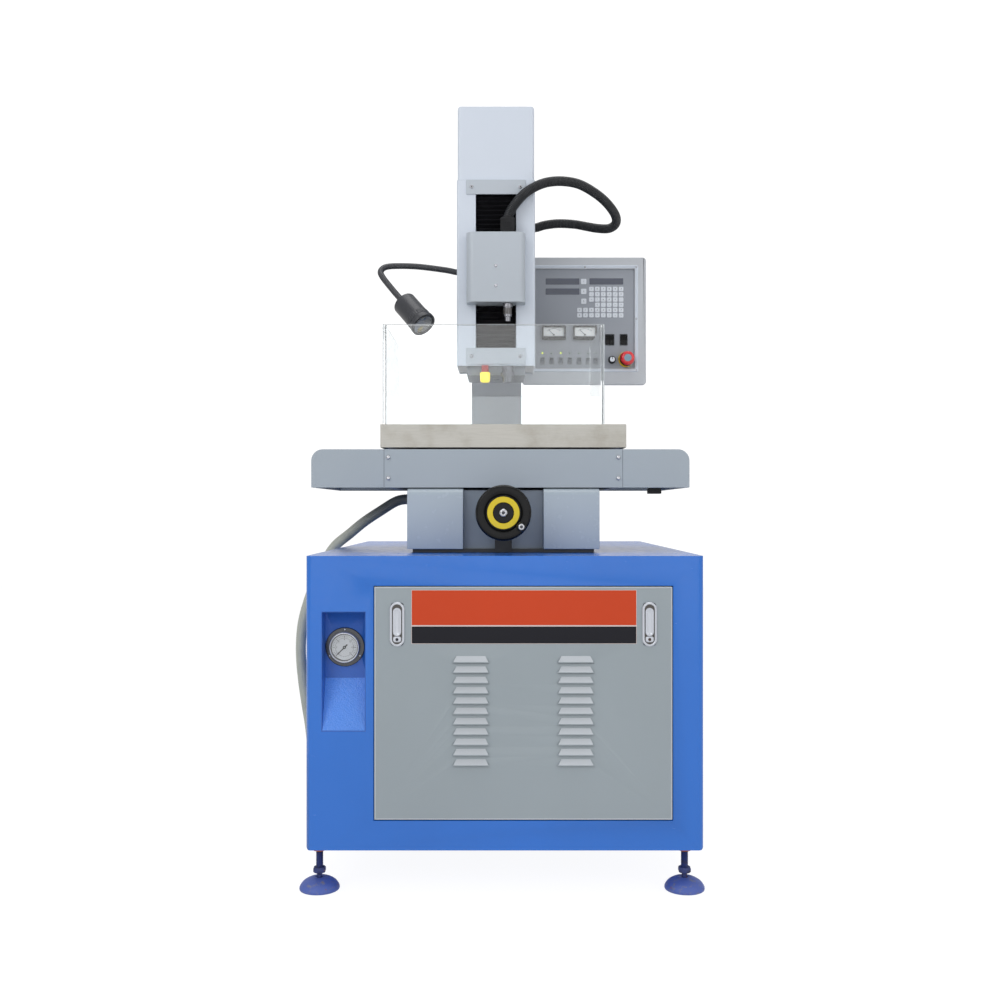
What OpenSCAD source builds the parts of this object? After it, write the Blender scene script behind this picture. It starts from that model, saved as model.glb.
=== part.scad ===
// Small-hole EDM drilling machine: a blue cabinet with the pump and power supply inside, a hand-driven
// Y slide, an X slide with a steel worktable and a clear splash guard, and a servo head on a rear column.
// Millimetres. X to the right, Y to the back, Z up. The origin is the bottom centre of the machine's box.

/* [Cabinet] */
// Width of the cabinet
cab_w = 870; // [820:5:960]
// Depth of the cabinet
cab_d = 1100; // [1060:5:1250]
// Height of the cabinet's walls
cab_h = 643; // [600:1:720]
// Clear height under the cabinet
foot_h = 100; // [95:1:130]
// Thickness of the sheet walls
cab_wall = 2.5; // [2:0.5:4]
// Thickness of the machined top plate
cab_top = 10; // [6:1:20]
// Rounding of the upright edges
cab_edge_r = 12; // [6:1:20]
// Rounding of the lower side edges
cab_low_r = 8; // [5:1:9]
// Width of each levelling foot's pad
pad_w = 89; // [60:1:100]
// Diameter of each levelling stud
stud_w = 16; // [12:1:20]

/* [Door] */
// Cabinet front left of the door
door_left = 150; // [140:1:180]
// Cabinet front right of the door
door_right = 69; // [50:1:100]
// Cabinet front above and below the door
door_above = 67; // [50:1:80]
// Gap round the door
door_gap = 2; // [1:0.5:4]
// Depth of the door's folded rim
door_rim = 18; // [12:1:30]
// Thickness of the door's sheet
door_sheet = 1.5; // [1:0.5:3]
// Louvres in each column
louvre_count = 11; // [5:1:12]
// Distance from one louvre to the next
louvre_pitch = 22.5; // [20:0.5:26]
// Width of a louvre
louvre_w = 80; // [50:1:100]
// Height of a louvre
louvre_h = 15; // [8:1:17]
// How far a louvre stands out
louvre_out = 6; // [4:0.5:8]
// Distance between the two louvre columns
louvre_spread = 229; // [180:1:300]
// Height of a door lock's plate
lock_h = 97; // [80:1:120]
// Width of a door lock's plate
lock_w = 32; // [28:1:40]

/* [Pressure gauge] */
// Width of the gauge recess
recess_w = 93.5; // [92:0.5:100]
// Height of the gauge recess
recess_h = 259; // [230:1:300]
// Depth of the gauge recess
recess_d = 45; // [40:1:70]
// Height of the sloping chute under the gauge
chute_h = 110; // [60:1:120]
// Diameter of the gauge's mounting flange
flange_w = 87; // [82:1:92]
// Diameter of the gauge's bezel
bezel_w = 68; // [64:1:76]

/* [Slides] */
// Distance between the outer sides of the bed covers
bed_w = 450; // [420:1:480]
// Width of each bed cover
bed_cover_w = 131; // [110:1:140]
// Height of the bed covers
bed_cover_h = 142; // [135:1:160]
// Depth of the bed
bed_d = 525; // [500:5:540]
// Cabinet front to bed front
bed_setback = 165; // [155:1:180]
// Cabinet front to the front of the X stage
stage_setback = 175; // [172:1:190]
// Depth of the X stage
stage_d = 445; // [430:1:460]
// Height of the X stage
stage_h = 90; // [86:1:110]
// Width of the middle front plate
plate_w = 560; // [540:5:600]
// Length of the left end cover
cover_left_l = 171; // [150:1:180]
// Length of the right end cover
cover_right_l = 157; // [140:1:180]
// Rounding of the end covers' upper corners
cover_r = 27; // [15:1:35]
// Width of the worktable
table_w = 578; // [540:1:620]
// How far the worktable stands back from the stage's front and rear
table_margin = 2.5; // [0:0.5:8]
// Thickness of the worktable
table_t = 55; // [40:1:70]
// Diameter of the handwheel
wheel_w = 125; // [110:1:130]
// Diameter of the Y screw's thread
y_screw_w = 20; // [16:1:24]

/* [Splash guard] */
// Width of the splash guard
guard_w = 523; // [500:1:530]
// Depth of the splash guard
guard_d = 330; // [300:5:350]
// Worktable left free in front of the guard
guard_margin = 10.5; // [6:0.5:20]
// Table's middle to the guard's middle, to the left
guard_shift = 23; // [0:1:28]
// Height of the splash guard
guard_h = 235; // [180:1:235]
// Height of its low back panel
guard_back_h = 100; // [60:1:110]
// Thickness of the clear sheet
guard_t = 8; // [5:1:12]

/* [Head] */
// Worktable to the underside of the head
head_gap = 172; // [168:1:220]
// Width of the head cover
head_w = 203; // [195:1:230]
// Depth of the head cover
head_d = 170; // [165:1:200]
// Height of the head cover
head_h = 482; // [470:1:520]
// Cabinet front to the head's front
head_setback = 440; // [435:1:460]
// Width of the slot for the carriage
slot_w = 104.5; // [96:0.5:120]
// Width of the carriage cover
carriage_w = 151; // [130:1:160]
// Height of the carriage cover
carriage_h = 179; // [160:1:190]
// How far the carriage stands out of the head
carriage_out = 45; // [40:1:55]
// Width of the top cover
top_cover_w = 199; // [180:1:200]
// Height of the top cover
top_cover_h = 192; // [150:1:220]
// Cabinet front to the column's front
column_setback = 745; // [735:1:760]
// Width of the column
column_w = 143; // [130:1:160]
// Depth of the column
column_d = 220; // [180:1:250]

/* [Control box] */
// Width of the control box
box_w = 359; // [352:1:380]
// Height of the control box
box_h = 369; // [340:1:400]
// Depth of the control box
box_d = 110; // [80:1:140]
// Cabinet front to the control box's front
box_setback = 765; // [758:1:800]
// Width of the window for the panel
panel_w = 287; // [284:1:300]
// Height of the window for the panel
panel_h = 288; // [284:1:300]
// Diameter of the emergency stop's head
stop_w = 41; // [35:1:42]

/* [Hidden] */
$fn = 48;

// One overrun for every cut, and the clearances that fits use
overrun = 1;
fit = 0.3;
run_gap = 1;

// Colours
cabinet_blue = [0.26, 0.48, 0.83];
door_grey = [0.58, 0.62, 0.64];
stage_grey = [0.63, 0.67, 0.71];
head_grey = [0.72, 0.76, 0.81];
ground_steel = [0.71, 0.71, 0.69];
bright_metal = [0.80, 0.80, 0.82];
dark_iron = [0.25, 0.26, 0.28];
black = [0.08, 0.08, 0.09];
clear_sheet = [0.85, 0.92, 0.95, 0.35];
hose_grey = [0.65, 0.68, 0.65];
key_white = [0.88, 0.89, 0.91];
signal_red = [0.88, 0.18, 0.20];
signal_yellow = [0.92, 0.75, 0.15];

// Machine frame: the slides' centre plane and the head's centre plane, right of the cabinet's centre
slide_x = -3;
head_x = -22;
lock_out = 4;
left_reach = max(cab_w / 2, plate_w / 2 + cover_left_l - slide_x);
right_reach = max(cab_w / 2, plate_w / 2 + cover_right_l + slide_x);
centre_x = (left_reach - right_reach) / 2;
front_reach = max(louvre_out, lock_out);
front_y = (front_reach - cab_d) / 2;
top_z = foot_h + cab_h;

// Bed
bed_plinth = 9;
bed_inset = 12;
bed_cover_r = 18;
bed_gap = 2;
rib_x = 70;
rib_w = 36;
web_h = 43;
rib_h = 93;
rail_w = 20;
rail_h = 18;
bed_front_t = 4;
bed_front_inset = 21;
bed_front_setback = bed_setback + bed_front_inset;
bed_front_h = 136;
bed_z = top_z + bed_plinth;
rib_top_z = bed_z + rib_h;
stage_z = bed_z + bed_cover_h + bed_gap;
bed_front_run = stage_z - bed_z - (bed_cover_h - bed_front_h);

// Y screw, its bracket and the handwheel
y_screw_rise = 94;
y_screw_z = top_z + y_screw_rise;
y_journal_w = 16;
bracket_w = 40;
bracket_t = 18;
bracket_h = 116;
bracket_setback = bed_front_setback - bracket_t;
sleeve_w = 38;
wheel_setback = 40;
wheel_t = 22;
wheel_edge = 4;
wheel_groove_w = 82;
ring_w = 72;
ring_bore_w = 47;
ring_t = 3;
wheel_nut_w = 19;
wheel_nut_t = 5;
crank_r = 50;
crank_turn = -38;
crank_w = 22;
crank_l = 36;
crank_pin_w = 8;
crank_head_w = 14;
crank_head_t = 2;
rear_bearing_t = 15;
rear_bearing_w = 60;
rear_bearing_h = 128;

// X stage
stage_sheet = 2;
end_plate_t = 3;
deck_drop = 40;
deck_z = stage_z + stage_h - deck_drop;
stage_top_z = stage_z + stage_h;
table_gap = 4;
table_z = stage_top_z + table_gap;
table_top_z = table_z + table_t;
block_l = 60;
block_w = 36;
y_block_inset = 120;
nut_w = 50;
nut_l = 40;
x_rail_inset = 80;
x_rail_h = 16;
x_block_x = 90;
x_screw_w = 16;
x_screw_rise = 16;
x_screw_z = deck_z + x_screw_rise;
post_t = 20;
post_w = 40;
post_h = 34;
plate_screw_w = 9;
plate_screw_t = 2;
plate_screw_inset = 10;
plate_screw_drop = 19;
plate_screw_pitch = 49;
stop_block_x = 357;
stop_block_w = 30;
stop_block_taper = 7;
stop_block_h = 14;
stop_block_d = 26;
stop_block_setback = 30;
casting_rim = 20;
casting_recess = 22;

// Worktable and guard
table_d = stage_d - 2 * table_margin;
table_setback = stage_setback + table_margin;
tapped_w = 6.8;
tapped_depth = 30;
tapped_pitch_x = 400;
tapped_pitch_y = 160;
gutter_w = 12;
gutter_t = 5;
gutter_inset = 6;
drain_w = 20;
guard_setback = table_setback + guard_margin;
guard_x = slide_x - guard_shift;

// Head
head_z = table_top_z + head_gap;
head_sheet = 2.5;
head_edge_r = 6;
head_plate_t = 10;
head_back_setback = 120;
head_back_t = 20;
head_back_w = 150;
z_rail_x = 45;
z_rail_w = 20;
z_rail_t = 15;
slot_low = 46;
slot_high = 37;
cross_w = 154;
cross_t = 3;
cross_low_h = 42;
cross_screw_x = 63;
cross_screw_w = 9;
cross_screw_t = 2;
arm_w = 130;
arm_low = 83;
arm_high = 39;
arm_wall = 12;
arm_fit = 3;
carriage_low = 158;
carriage_r = 20;
neck_w = 96;
z_block_l = 70;
z_block_t = 41;
z_screw_w = 16;
z_screw_setback = 92;
z_nut_w = 40;
z_nut_h = 50;
gland_w = 36;
gland_floor = 14;
gland_x = 8;
gland_setback = 22;
spindle_bore_h = 110;
spindle_shaft_w = 16;
chuck_collar_w = 26;
chuck_collar_h = 10.7;
chuck_body_w = 21;
chuck_body_h = 24;
chuck_tip_w = 15;
chuck_tip_h = 12;
chuck_bore_w = 6;
chuck_bore_h = 20;
head_base_w = 151;
head_base_h = 24;
head_base_inset = 10;
head_base_d = 159;
guide_w = 34;
guide_h = 10;
guide_low = 31;
guide_neck_w = 21;
guide_neck_h = 4;
guide_cap_w = 27;
guide_cap_h = 13;
guide_tip_w = 24;
guide_tip_h = 15;
guide_bore_w = 3;
guide_arm_w = 24;
guide_arm_h = 12;
light_x = -50;
light_base_w = 18;
light_base_h = 18;
light_base_d = 22;
light_lens_w = 26;
light_lens_h = 26;
motor_w = 80;
motor_h = 120;
motor_r = 8;
top_cover_d = 164;
top_cover_r = 8;
column_wall = 12;
column_foot_w = 220;
column_foot_d = 270;
column_foot_t = 20;
pleat_pitch = 12;
pleat_t = 12;
pleat_wall = 2.5;

// Control box and what stands on its panel, all measured from the panel window's upper left corner
box_x = 52;
box_low = 11;
box_r = 10;
box_wall = 2;
bezel_t = 5;
box_rim = 20;
box_inset = 14;
panel_left = 38.3;
panel_top = 33.6;
panel_t = 3;
panel_lap = 6;
box_arm_h = 120;
box_arm_d = 50;
box_arm_z = 120;
box_arm_setback = 35;
display_w = 97;
display_h = 16.8;
display_t = 0.6;
display_at = [[30.4, 26.9], [30.4, 56], [157.5, 26.6]];
key_w = 13.9;
key_h = 13.3;
key_t = 1.2;
key_pitch_x = 17.25;
key_pitch_y = 15.25;
key_first = [128, 57.3];
key_rows = [[2, 7], [2, 7], [2, 7], [3, 7], [0, 7], [0, 7]];
mode_key_w = 16;
mode_key_at = [140.2, 35.6];
mode_key_pitch = 28.7;
meter_w = 68;
meter_h = 40.5;
meter_t = 9;
meter_rim = 4;
meter_foot = 10;
meter_floor = 2;
meter_at = [[19.4, 165.4], [109.5, 165.4]];
meter_pivot_h = 5;
meter_needle_l = 21;
meter_needle_w = 1.6;
meter_hub_w = 5;
meter_pin_w = 1.6;
needle_t = 0.8;
needle_lift = 1;
meter_rest = 45;
lip = 1.5;
rocker_gap = 0.4;
rocker_margin = 3;
rocker_pivot = 4;
rocker_rise = 2;
rocker_back = 4;
rocker_pin_w = 1.6;
rocker_turn = 10;
housing_depth = 12;
frame_out = 1.5;
power_h = 31.9;
double_w = 26.4;
single_w = 21.7;
double_at = [215.6, 204.5];
single_at = [256.2, 204.5];
small_h = 19.4;
small_w = 13.3;
small_at = [20.3, 266];
small_pitch = 26.6;
small_count = 7;
knob_at = [221.8, 263.2];
knob_w = 23.2;
knob_t = 16;
knob_stem_w = 8;
knob_mark_w = 2.4;
knob_mark_t = 1;
knob_lift = 1;
stem_l = 20;
stop_at = [264.9, 260.6];
stop_stem_w = 16;
stop_head_t = 16;
stop_edge = 4;
stop_travel = 6;
stop_collar_w = 44;
stop_collar_t = 10;

// Door
door_fold_r = 3;
door_lip = 12;
louvre_low = 118;
louvre_taper = 8;
louvre_sheet = 1.2;
lock_inset = 50;
lock_drop = 82;
lock_r = 8;
lock_back = 15;
lock_floor = 2;
lever_w = 20;
lever_l = 62;
lever_t = 4.5;
lever_r = 9;
lever_top = 12.5;
lever_room = 5;
lever_pin_w = 2;
lever_pin_drop = 3;
button_w = 18;
button_h = 13;

// Gauge
recess_wall = 2;
recess_left = 36;
recess_low = 261;
gauge_high = 178;
flange_t = 3;
bezel_t_gauge = 14;
gauge_body_w = 60;
gauge_body_l = 36;
gauge_stem_w = 14;
gauge_stem_l = 22;
dial_w = 61;
dial_depth = 8;
glass_t = 2;
glass_seat = 1;
gauge_needle_l = 24;
gauge_tail_l = 9;
gauge_needle_w = 3;
gauge_hub_w = 7;
gauge_pin_w = 2;
gauge_rest = -135;

// Feet
foot_inset_left = 23;
foot_inset_right = 35;
foot_inset_d = 46;
pad_edge_share = 0.06;
pad_h = 28;
pad_neck_w = 30;
pad_socket_z = 10;
stem_w = 12;
collar_w = 26;
collar_z = 38;
collar_h = 12;
stud_above = 38;
nut_across = 28;
nut_h = 13;
foot_block_w = 44;
foot_block_h = 30;

// Inside the cabinet
tank_w = 340;
tank_d = 480;
tank_h = 330;
tank_wall = 5;
tank_inset = 60;
pump_plate_w = 320;
pump_plate_d = 260;
pump_plate_t = 10;
pump_motor_w = 140;
pump_motor_l = 190;
pump_block = 110;
pump_axis_z = 90;
filter_w = 90;
filter_h = 230;
filter_cap_w = 104;
filter_cap_h = 20;
pump_x = -210;
pump_setback = 640;
supply_w = 460;
supply_d = 220;
supply_sheet = 2;
supply_lip = 40;
supply_setback = 150;
transformer_w = 130;
transformer_h = 150;
fin_count = 8;
fin_pitch = 16;
fin_t = 4;
fin_h = 110;
fin_d = 140;
vent_count = 6;
vent_w = 260;
vent_h = 8;
vent_pitch = 24;
vent_z = 430;

// Lamp
arm_tube_w = 16;
arm_sides = 10;
lamp_back_w = 46;
lamp_mid_w = 62;
lamp_front_w = 67;
lamp_neck_l = 7;
lamp_l = 101;
lamp_ring_l = 10;
lamp_lens_w = 54;
lamp_lens_t = 6;
lamp_aim = [57, -47, -69];
lamp_route = [[-123.5, 520, 1478], [-131, 520, 1478], [-150, 520, 1482], [-180, 518, 1486],
    [-219, 514, 1490], [-248, 509, 1491], [-277, 502, 1490], [-303, 493, 1487], [-318, 485, 1481],
    [-325, 476, 1469], [-319, 466, 1453], [-298, 454, 1425], [-276, 442, 1398], [-262, 430, 1382]];

// Hoses: x from the cabinet's centre, distance behind its front, height above the floor
hose_w = 28;
hose_sides = 12;
hose_route = [[-248, 600, 872], [-276, 600, 872], [-300, 598, 865], [-337, 595, 842], [-383, 590, 811],
    [-419, 585, 781], [-462, 580, 744], [-491, 579, 697], [-515, 579, 645], [-535, 579, 590],
    [-549, 580, 535], [-554, 580, 480], [-553, 580, 430], [-547, 580, 370], [-538, 580, 310],
    [-530, 580, 260], [-525, 580, 215], [-525, 580, 185]];
nipple_w = 36;
elbow_r = 40;
elbow_flange_w = 44;
elbow_flange_t = 5;
conduit_w = 25;
conduit_bore_w = 19;
conduit_valley_w = 22;
conduit_sides = 8;
rib_half_pitch = 2.1;
conduit_route = [[8, 418, 1568], [8, 418, 1593], [17, 418, 1615], [33, 418, 1637], [53, 420, 1659],
    [79, 425, 1677], [110, 434, 1691], [150, 450, 1699], [195, 472, 1698], [238, 502, 1685],
    [273, 532, 1667], [300, 568, 1645], [306, 600, 1630], [291, 628, 1623], [262, 645, 1627],
    [230, 655, 1635], [195, 658, 1642], [150, 654, 1643], [112, 649, 1637], [88, 648, 1630],
    [63, 648, 1630]];
conduit_end_w = 34;
conduit_end_l = 20;

// Puts children at x from the cabinet's centre, d behind its front and z above the floor
module place(x = 0, d = 0, z = 0) {
    translate([x + centre_x, front_y + d, z]) children();
}

// Turns a shape drawn in x and z, so that its extrusion runs back from the front plane
module face(t) {
    translate([0, t, 0]) rotate([90, 0, 0]) linear_extrude(t) children();
}

// A block w wide, d deep and h high, centred in x, standing on z = 0 with its front at y = 0
module block(w, d, h) {
    translate([-w / 2, 0, 0]) cube([w, d, h]);
}

// A cylinder along +y from the front plane
module rod(w, l) {
    rotate([-90, 0, 0]) cylinder(d = w, h = l);
}

module rounded_rect(w, h, r) {
    square([w - 2 * r, h], center = true);
    square([w, h - 2 * r], center = true);
    for (x = [-1, 1], y = [-1, 1])
        translate([x * (w / 2 - r), y * (h / 2 - r)]) circle(r = r);
}

// A rectangle standing on y = 0 whose two upper corners are round
module crowned_rect(w, h, r) {
    translate([-w / 2, 0]) square([w, h - r]);
    translate([-w / 2 + r, 0]) square([w - 2 * r, h]);
    for (x = [-1, 1])
        translate([x * (w / 2 - r), h - r]) circle(r = r);
}

// Functions that sweep a tube along a route
function unit(v) = v / norm(v);
function swing(n, t) = unit(n - (n * t) * t);
function hermite(a, b, ta, tb, s) = (2 * pow(s, 3) - 3 * pow(s, 2) + 1) * a + (pow(s, 3) - 2 * pow(s,
    2) + s) * ta
    + (3 * pow(s, 2) - 2 * pow(s, 3)) * b + (pow(s, 3) - pow(s, 2)) * tb;
function slope(p, i) = let (last = len(p) - 1)
    i == 0 ? p[1] - p[0] : i == last ? p[last] - p[last - 1] : (p[i + 1] - p[i - 1]) / 2;
function spline(p, step) = [
    for (i = [0 : len(p) - 2])
        let (n = max(1, round(norm(p[i + 1] - p[i]) / step)))
            for (k = [0 : n - 1]) hermite(p[i], p[i + 1], slope(p, i), slope(p, i + 1), k / n),
    p[len(p) - 1]];
function tangents(p) = [for (i = [0 : len(p) - 1]) unit(slope(p, i))];
function normals(t, first) = [for (i = 0, n = swing(first, t[0]); i < len(t);
    i = i + 1, n = i < len(t) ? swing(n, t[i]) : n) n];
function rings(p, radii, sides, first) = let (t = tangents(p), n = normals(t, first)) [
    for (i = [0 : len(p) - 1])
        let (b = cross(t[i], n[i]))
            for (k = [0 : sides - 1])
                p[i] + radii[i % len(radii)] * (cos(360 * k / sides) * n[i] + sin(360 * k / sides) * b)];
function wall_faces(start, count, sides, out) = [
    for (i = [0 : count - 2], k = [0 : sides - 1])
        let (a = start + i * sides + k, b = start + i * sides + (k + 1) % sides, c = a + sides,
            d = b + sides)
            each (out ? [[a, c, b], [b, c, d]] : [[a, b, c], [b, d, c]])];
function disc_faces(start, sides, back) = [
    for (k = [1 : sides - 2]) back ? [start, start + k + 1, start + k] : [start, start + k, start + k + 1]];
function ring_faces(a, b, sides, back) = [
    for (k = [0 : sides - 1])
        let (k2 = (k + 1) % sides)
            each (back ? [[a + k, b + k2, b + k], [a + k, a + k2, b + k2]]
                : [[a + k, b + k, b + k2], [a + k, b + k2, a + k2]])];

// A plain round cord along the route's own points
module cord(route, w, sides) {
    points = rings(route, [w / 2], sides, [0, 1, 0]);
    faces = concat(wall_faces(0, len(route), sides, true), disc_faces(0, sides, false),
        disc_faces((len(route) - 1) * sides, sides, true));
    polyhedron(points = points, faces = faces, convexity = 6);
}

// A corrugated hose with its bore: crests and valleys take turns along a smooth curve through the route
module ribbed_hose(route, w, valley_w, bore_w, sides, half_pitch) {
    outer = spline(route, half_pitch);
    inner = spline(route, conduit_w);
    start = len(outer) * sides;
    points = concat(rings(outer, [w / 2, valley_w / 2], sides, [0, 1, 0]),
        rings(inner, [bore_w / 2], sides, [0, 1, 0]));
    faces = concat(wall_faces(0, len(outer), sides, true), wall_faces(start, len(inner), sides, false),
        ring_faces(0, start, sides, true),
        ring_faces((len(outer) - 1) * sides, start + (len(inner) - 1) * sides, sides, false));
    polyhedron(points = points, faces = faces, convexity = 8);
}

// Cabinet and its fixed contents
module cabinet_form(inset, top) {
    low_r = max(cab_low_r - inset, overrun);
    intersection() {
        translate([0, inset, 0]) face(cab_d - 2 * inset)
            rotate(180) translate([0, -(cab_h - top)]) crowned_rect(cab_w - 2 * inset,
                cab_h - top - inset, low_r);
        translate([0, cab_d / 2, 0]) linear_extrude(cab_h)
            rounded_rect(cab_w - 2 * inset, cab_d - 2 * inset, max(cab_edge_r - inset, overrun));
    }
}

door_w = cab_w - door_left - door_right;
door_h = cab_h - 2 * door_above;
door_x = (door_left - door_right) / 2;
door_z = foot_h + door_above;
recess_x = -cab_w / 2 + recess_left + recess_w / 2;
recess_z = foot_h + recess_low;
foot_left_x = -cab_w / 2 + foot_inset_left;
foot_right_x = cab_w / 2 - foot_inset_right;
stop_depth = door_rim + fit;

module at_feet() {
    for (x = [foot_left_x, foot_right_x], d = [foot_inset_d, cab_d - foot_inset_d])
        place(x, d) children();
}

module cabinet_shell() {
    opening_w = door_w + 2 * door_gap;
    opening_h = door_h + 2 * door_gap;
    low = door_z - door_gap;
    color(cabinet_blue) difference() {
        union() {
            difference() {
                place(0, 0, foot_h) cabinet_form(0, 0);
                place(0, 0, foot_h) cabinet_form(cab_wall, cab_top);
            }
            place(door_x, 0, low - cab_wall)
                block(opening_w + 2 * cab_wall, stop_depth + cab_wall, opening_h + 2 * cab_wall);
            at_feet() translate([-foot_block_w / 2, -foot_block_w / 2, foot_h])
                cube([foot_block_w, foot_block_w, foot_block_h]);
        }
        place(door_x, -overrun, low) block(opening_w, stop_depth + overrun, opening_h);
        place(door_x, -overrun, low + door_lip)
            block(opening_w - 2 * door_lip, stop_depth + cab_wall + 2 * overrun, opening_h - 2 * door_lip);
        place(recess_x, -overrun, recess_z - recess_wall)
            block(recess_w + 2 * recess_wall, cab_wall + 2 * overrun, recess_h + 2 * recess_wall);
        at_feet() cylinder(d = stud_w, h = foot_h + foot_block_h + overrun);
        for (i = [0 : vent_count - 1])
            place(0, cab_d - cab_wall - overrun, vent_z + i * vent_pitch)
                block(vent_w, cab_wall + 2 * overrun, vent_h);
        place(-cab_w / 2 - overrun, hose_end[1], elbow_z)
            rotate([0, 90, 0]) cylinder(d = hose_w, h = cab_wall + 2 * overrun);
    }
}

module gauge_recess() {
    color(cabinet_blue) difference() {
        place(recess_x - recess_w / 2 - recess_wall, 0, recess_z)
            rotate([90, 0, 90]) linear_extrude(recess_w + 2 * recess_wall)
                polygon([[0, -recess_wall], [0, recess_h + recess_wall], [recess_d + recess_wall,
                    recess_h + recess_wall],
                    [recess_d + recess_wall, chute_h], [recess_wall, -recess_wall]]);
        place(recess_x - recess_w / 2, 0, recess_z)
            rotate([90, 0, 90]) linear_extrude(recess_w)
                polygon([[-overrun, 0], [-overrun, recess_h], [recess_d, recess_h], [recess_d,
                    chute_h], [0, 0]]);
        place(gauge_x, recess_d - overrun, recess_z + gauge_high)
            rod(gauge_body_w + 2 * fit, recess_wall + 2 * overrun);
    }
}

module foot_studs() {
    color(dark_iron) at_feet() {
        translate([0, 0, pad_socket_z]) cylinder(d = stem_w, h = collar_z - pad_socket_z);
        translate([0, 0, collar_z]) cylinder(d = collar_w, h = collar_h, $fn = 6);
        translate([0, 0, collar_z + collar_h])
            cylinder(d = stud_w, h = foot_h + stud_above - collar_z - collar_h);
        translate([0, 0, foot_h - nut_h]) cylinder(d = nut_across, h = nut_h, $fn = 6);
    }
}

module foot_pads() {
    edge_h = pad_w * pad_edge_share;
    color(cabinet_blue) at_feet() rotate_extrude()
        polygon([[0, 0], [pad_w / 2, 0], [pad_w / 2, edge_h], [(pad_w + pad_neck_w) / 4,
            (pad_h + edge_h) / 2 + edge_h / 2],
            [pad_neck_w / 2, pad_h], [stem_w / 2 + fit, pad_h], [stem_w / 2 + fit, pad_socket_z], [0,
                pad_socket_z]]);
}

floor_z = foot_h + cab_wall;
tank_x = cab_w / 2 - tank_inset - tank_w / 2;

module water_tank() {
    color(key_white) place(tank_x, cab_d - tank_inset - tank_d, floor_z) difference() {
        block(tank_w, tank_d, tank_h);
        translate([0, tank_wall, tank_wall]) block(tank_w - 2 * tank_wall, tank_d - 2 * tank_wall, tank_h);
    }
}

module pump_unit() {
    color(dark_iron) place(pump_x, pump_setback, floor_z) {
        block(pump_plate_w, pump_plate_d, pump_plate_t);
        translate([-pump_plate_w / 2 + pump_block / 4, pump_plate_d / 2, 0]) {
            translate([0, -pump_block / 2, pump_plate_t]) cube([pump_block, pump_block,
                pump_axis_z + pump_block / 4]);
            translate([pump_block, 0, pump_axis_z]) rotate([0, 90, 0]) cylinder(d = pump_motor_w,
                h = pump_motor_l);
            translate([pump_block + pump_motor_l / 4, -pump_block / 2, pump_plate_t])
                cube([pump_motor_l / 2, pump_block, pump_axis_z - pump_plate_t]);
        }
    }
    color(bright_metal) place(pump_x + pump_plate_w / 2 - filter_w, pump_setback + filter_w / 2 + fit,
        floor_z + pump_plate_t)
        translate([filter_w / 3, 0, 0]) {
            cylinder(d = filter_w - filter_cap_h, h = filter_h);
            translate([0, 0, filter_h]) cylinder(d = filter_w, h = filter_cap_h);
        }
}

module power_supply() {
    color(bright_metal) place(door_x, supply_setback, floor_z) {
        difference() {
            block(supply_w, supply_d, supply_lip);
            translate([0, supply_sheet, supply_sheet])
                block(supply_w - 2 * supply_sheet, supply_d - 2 * supply_sheet, supply_lip);
        }
        translate([-supply_w / 4, (supply_d - transformer_w) / 2, supply_sheet])
            block(transformer_w, transformer_w, transformer_h);
        translate([supply_w / 4, (supply_d - fin_d) / 2, supply_sheet]) {
            block(fin_count * fin_pitch, fin_d, fin_t);
            for (i = [0 : fin_count - 1])
                translate([(i - (fin_count - 1) / 2) * fin_pitch, 0, 0]) block(fin_t, fin_d, fin_h);
        }
    }
}

// Pressure gauge
gauge_z = recess_z + gauge_high;
gauge_x = recess_x - recess_w / 2 + flange_w / 2 + fit;
dial_floor = recess_d - flange_t - bezel_t_gauge + dial_depth;

module gauge_case() {
    front = recess_d - flange_t - bezel_t_gauge;
    color(dark_iron) place(gauge_x, 0, gauge_z) difference() {
        union() {
            translate([0, recess_d - flange_t, 0]) rod(flange_w, flange_t);
            translate([0, front, 0]) rod(bezel_w, bezel_t_gauge);
            translate([0, recess_d, 0]) rod(gauge_body_w, gauge_body_l);
            translate([0, recess_d + gauge_body_l, 0]) rod(gauge_stem_w, gauge_stem_l);
        }
        difference() {
            translate([0, front - overrun, 0]) rod(dial_w, dial_depth + overrun);
            translate([0, front, 0]) rod(gauge_pin_w, dial_depth);
        }
        translate([0, front - overrun, 0]) rod(dial_w, glass_seat + glass_t + overrun);
    }
}

module gauge_glass() {
    color(clear_sheet) place(gauge_x, recess_d - flange_t - bezel_t_gauge + glass_seat,
        gauge_z) rod(dial_w, glass_t);
}

module pointer(l, tail, w, hub_w, pin_w, t) {
    difference() {
        union() {
            rod(hub_w, t);
            face(t) polygon([[-w / 2, -tail], [w / 2, -tail], [w / 4, l], [-w / 4, l]]);
        }
        translate([0, -overrun, 0]) rod(pin_w + 2 * fit, t + 2 * overrun);
    }
}

module gauge_needle() {
    color(black) place(gauge_x, dial_floor - needle_lift - needle_t, gauge_z) rotate([0, gauge_rest, 0])
        pointer(gauge_needle_l, gauge_tail_l, gauge_needle_w, gauge_hub_w, gauge_pin_w, needle_t);
}

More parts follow.
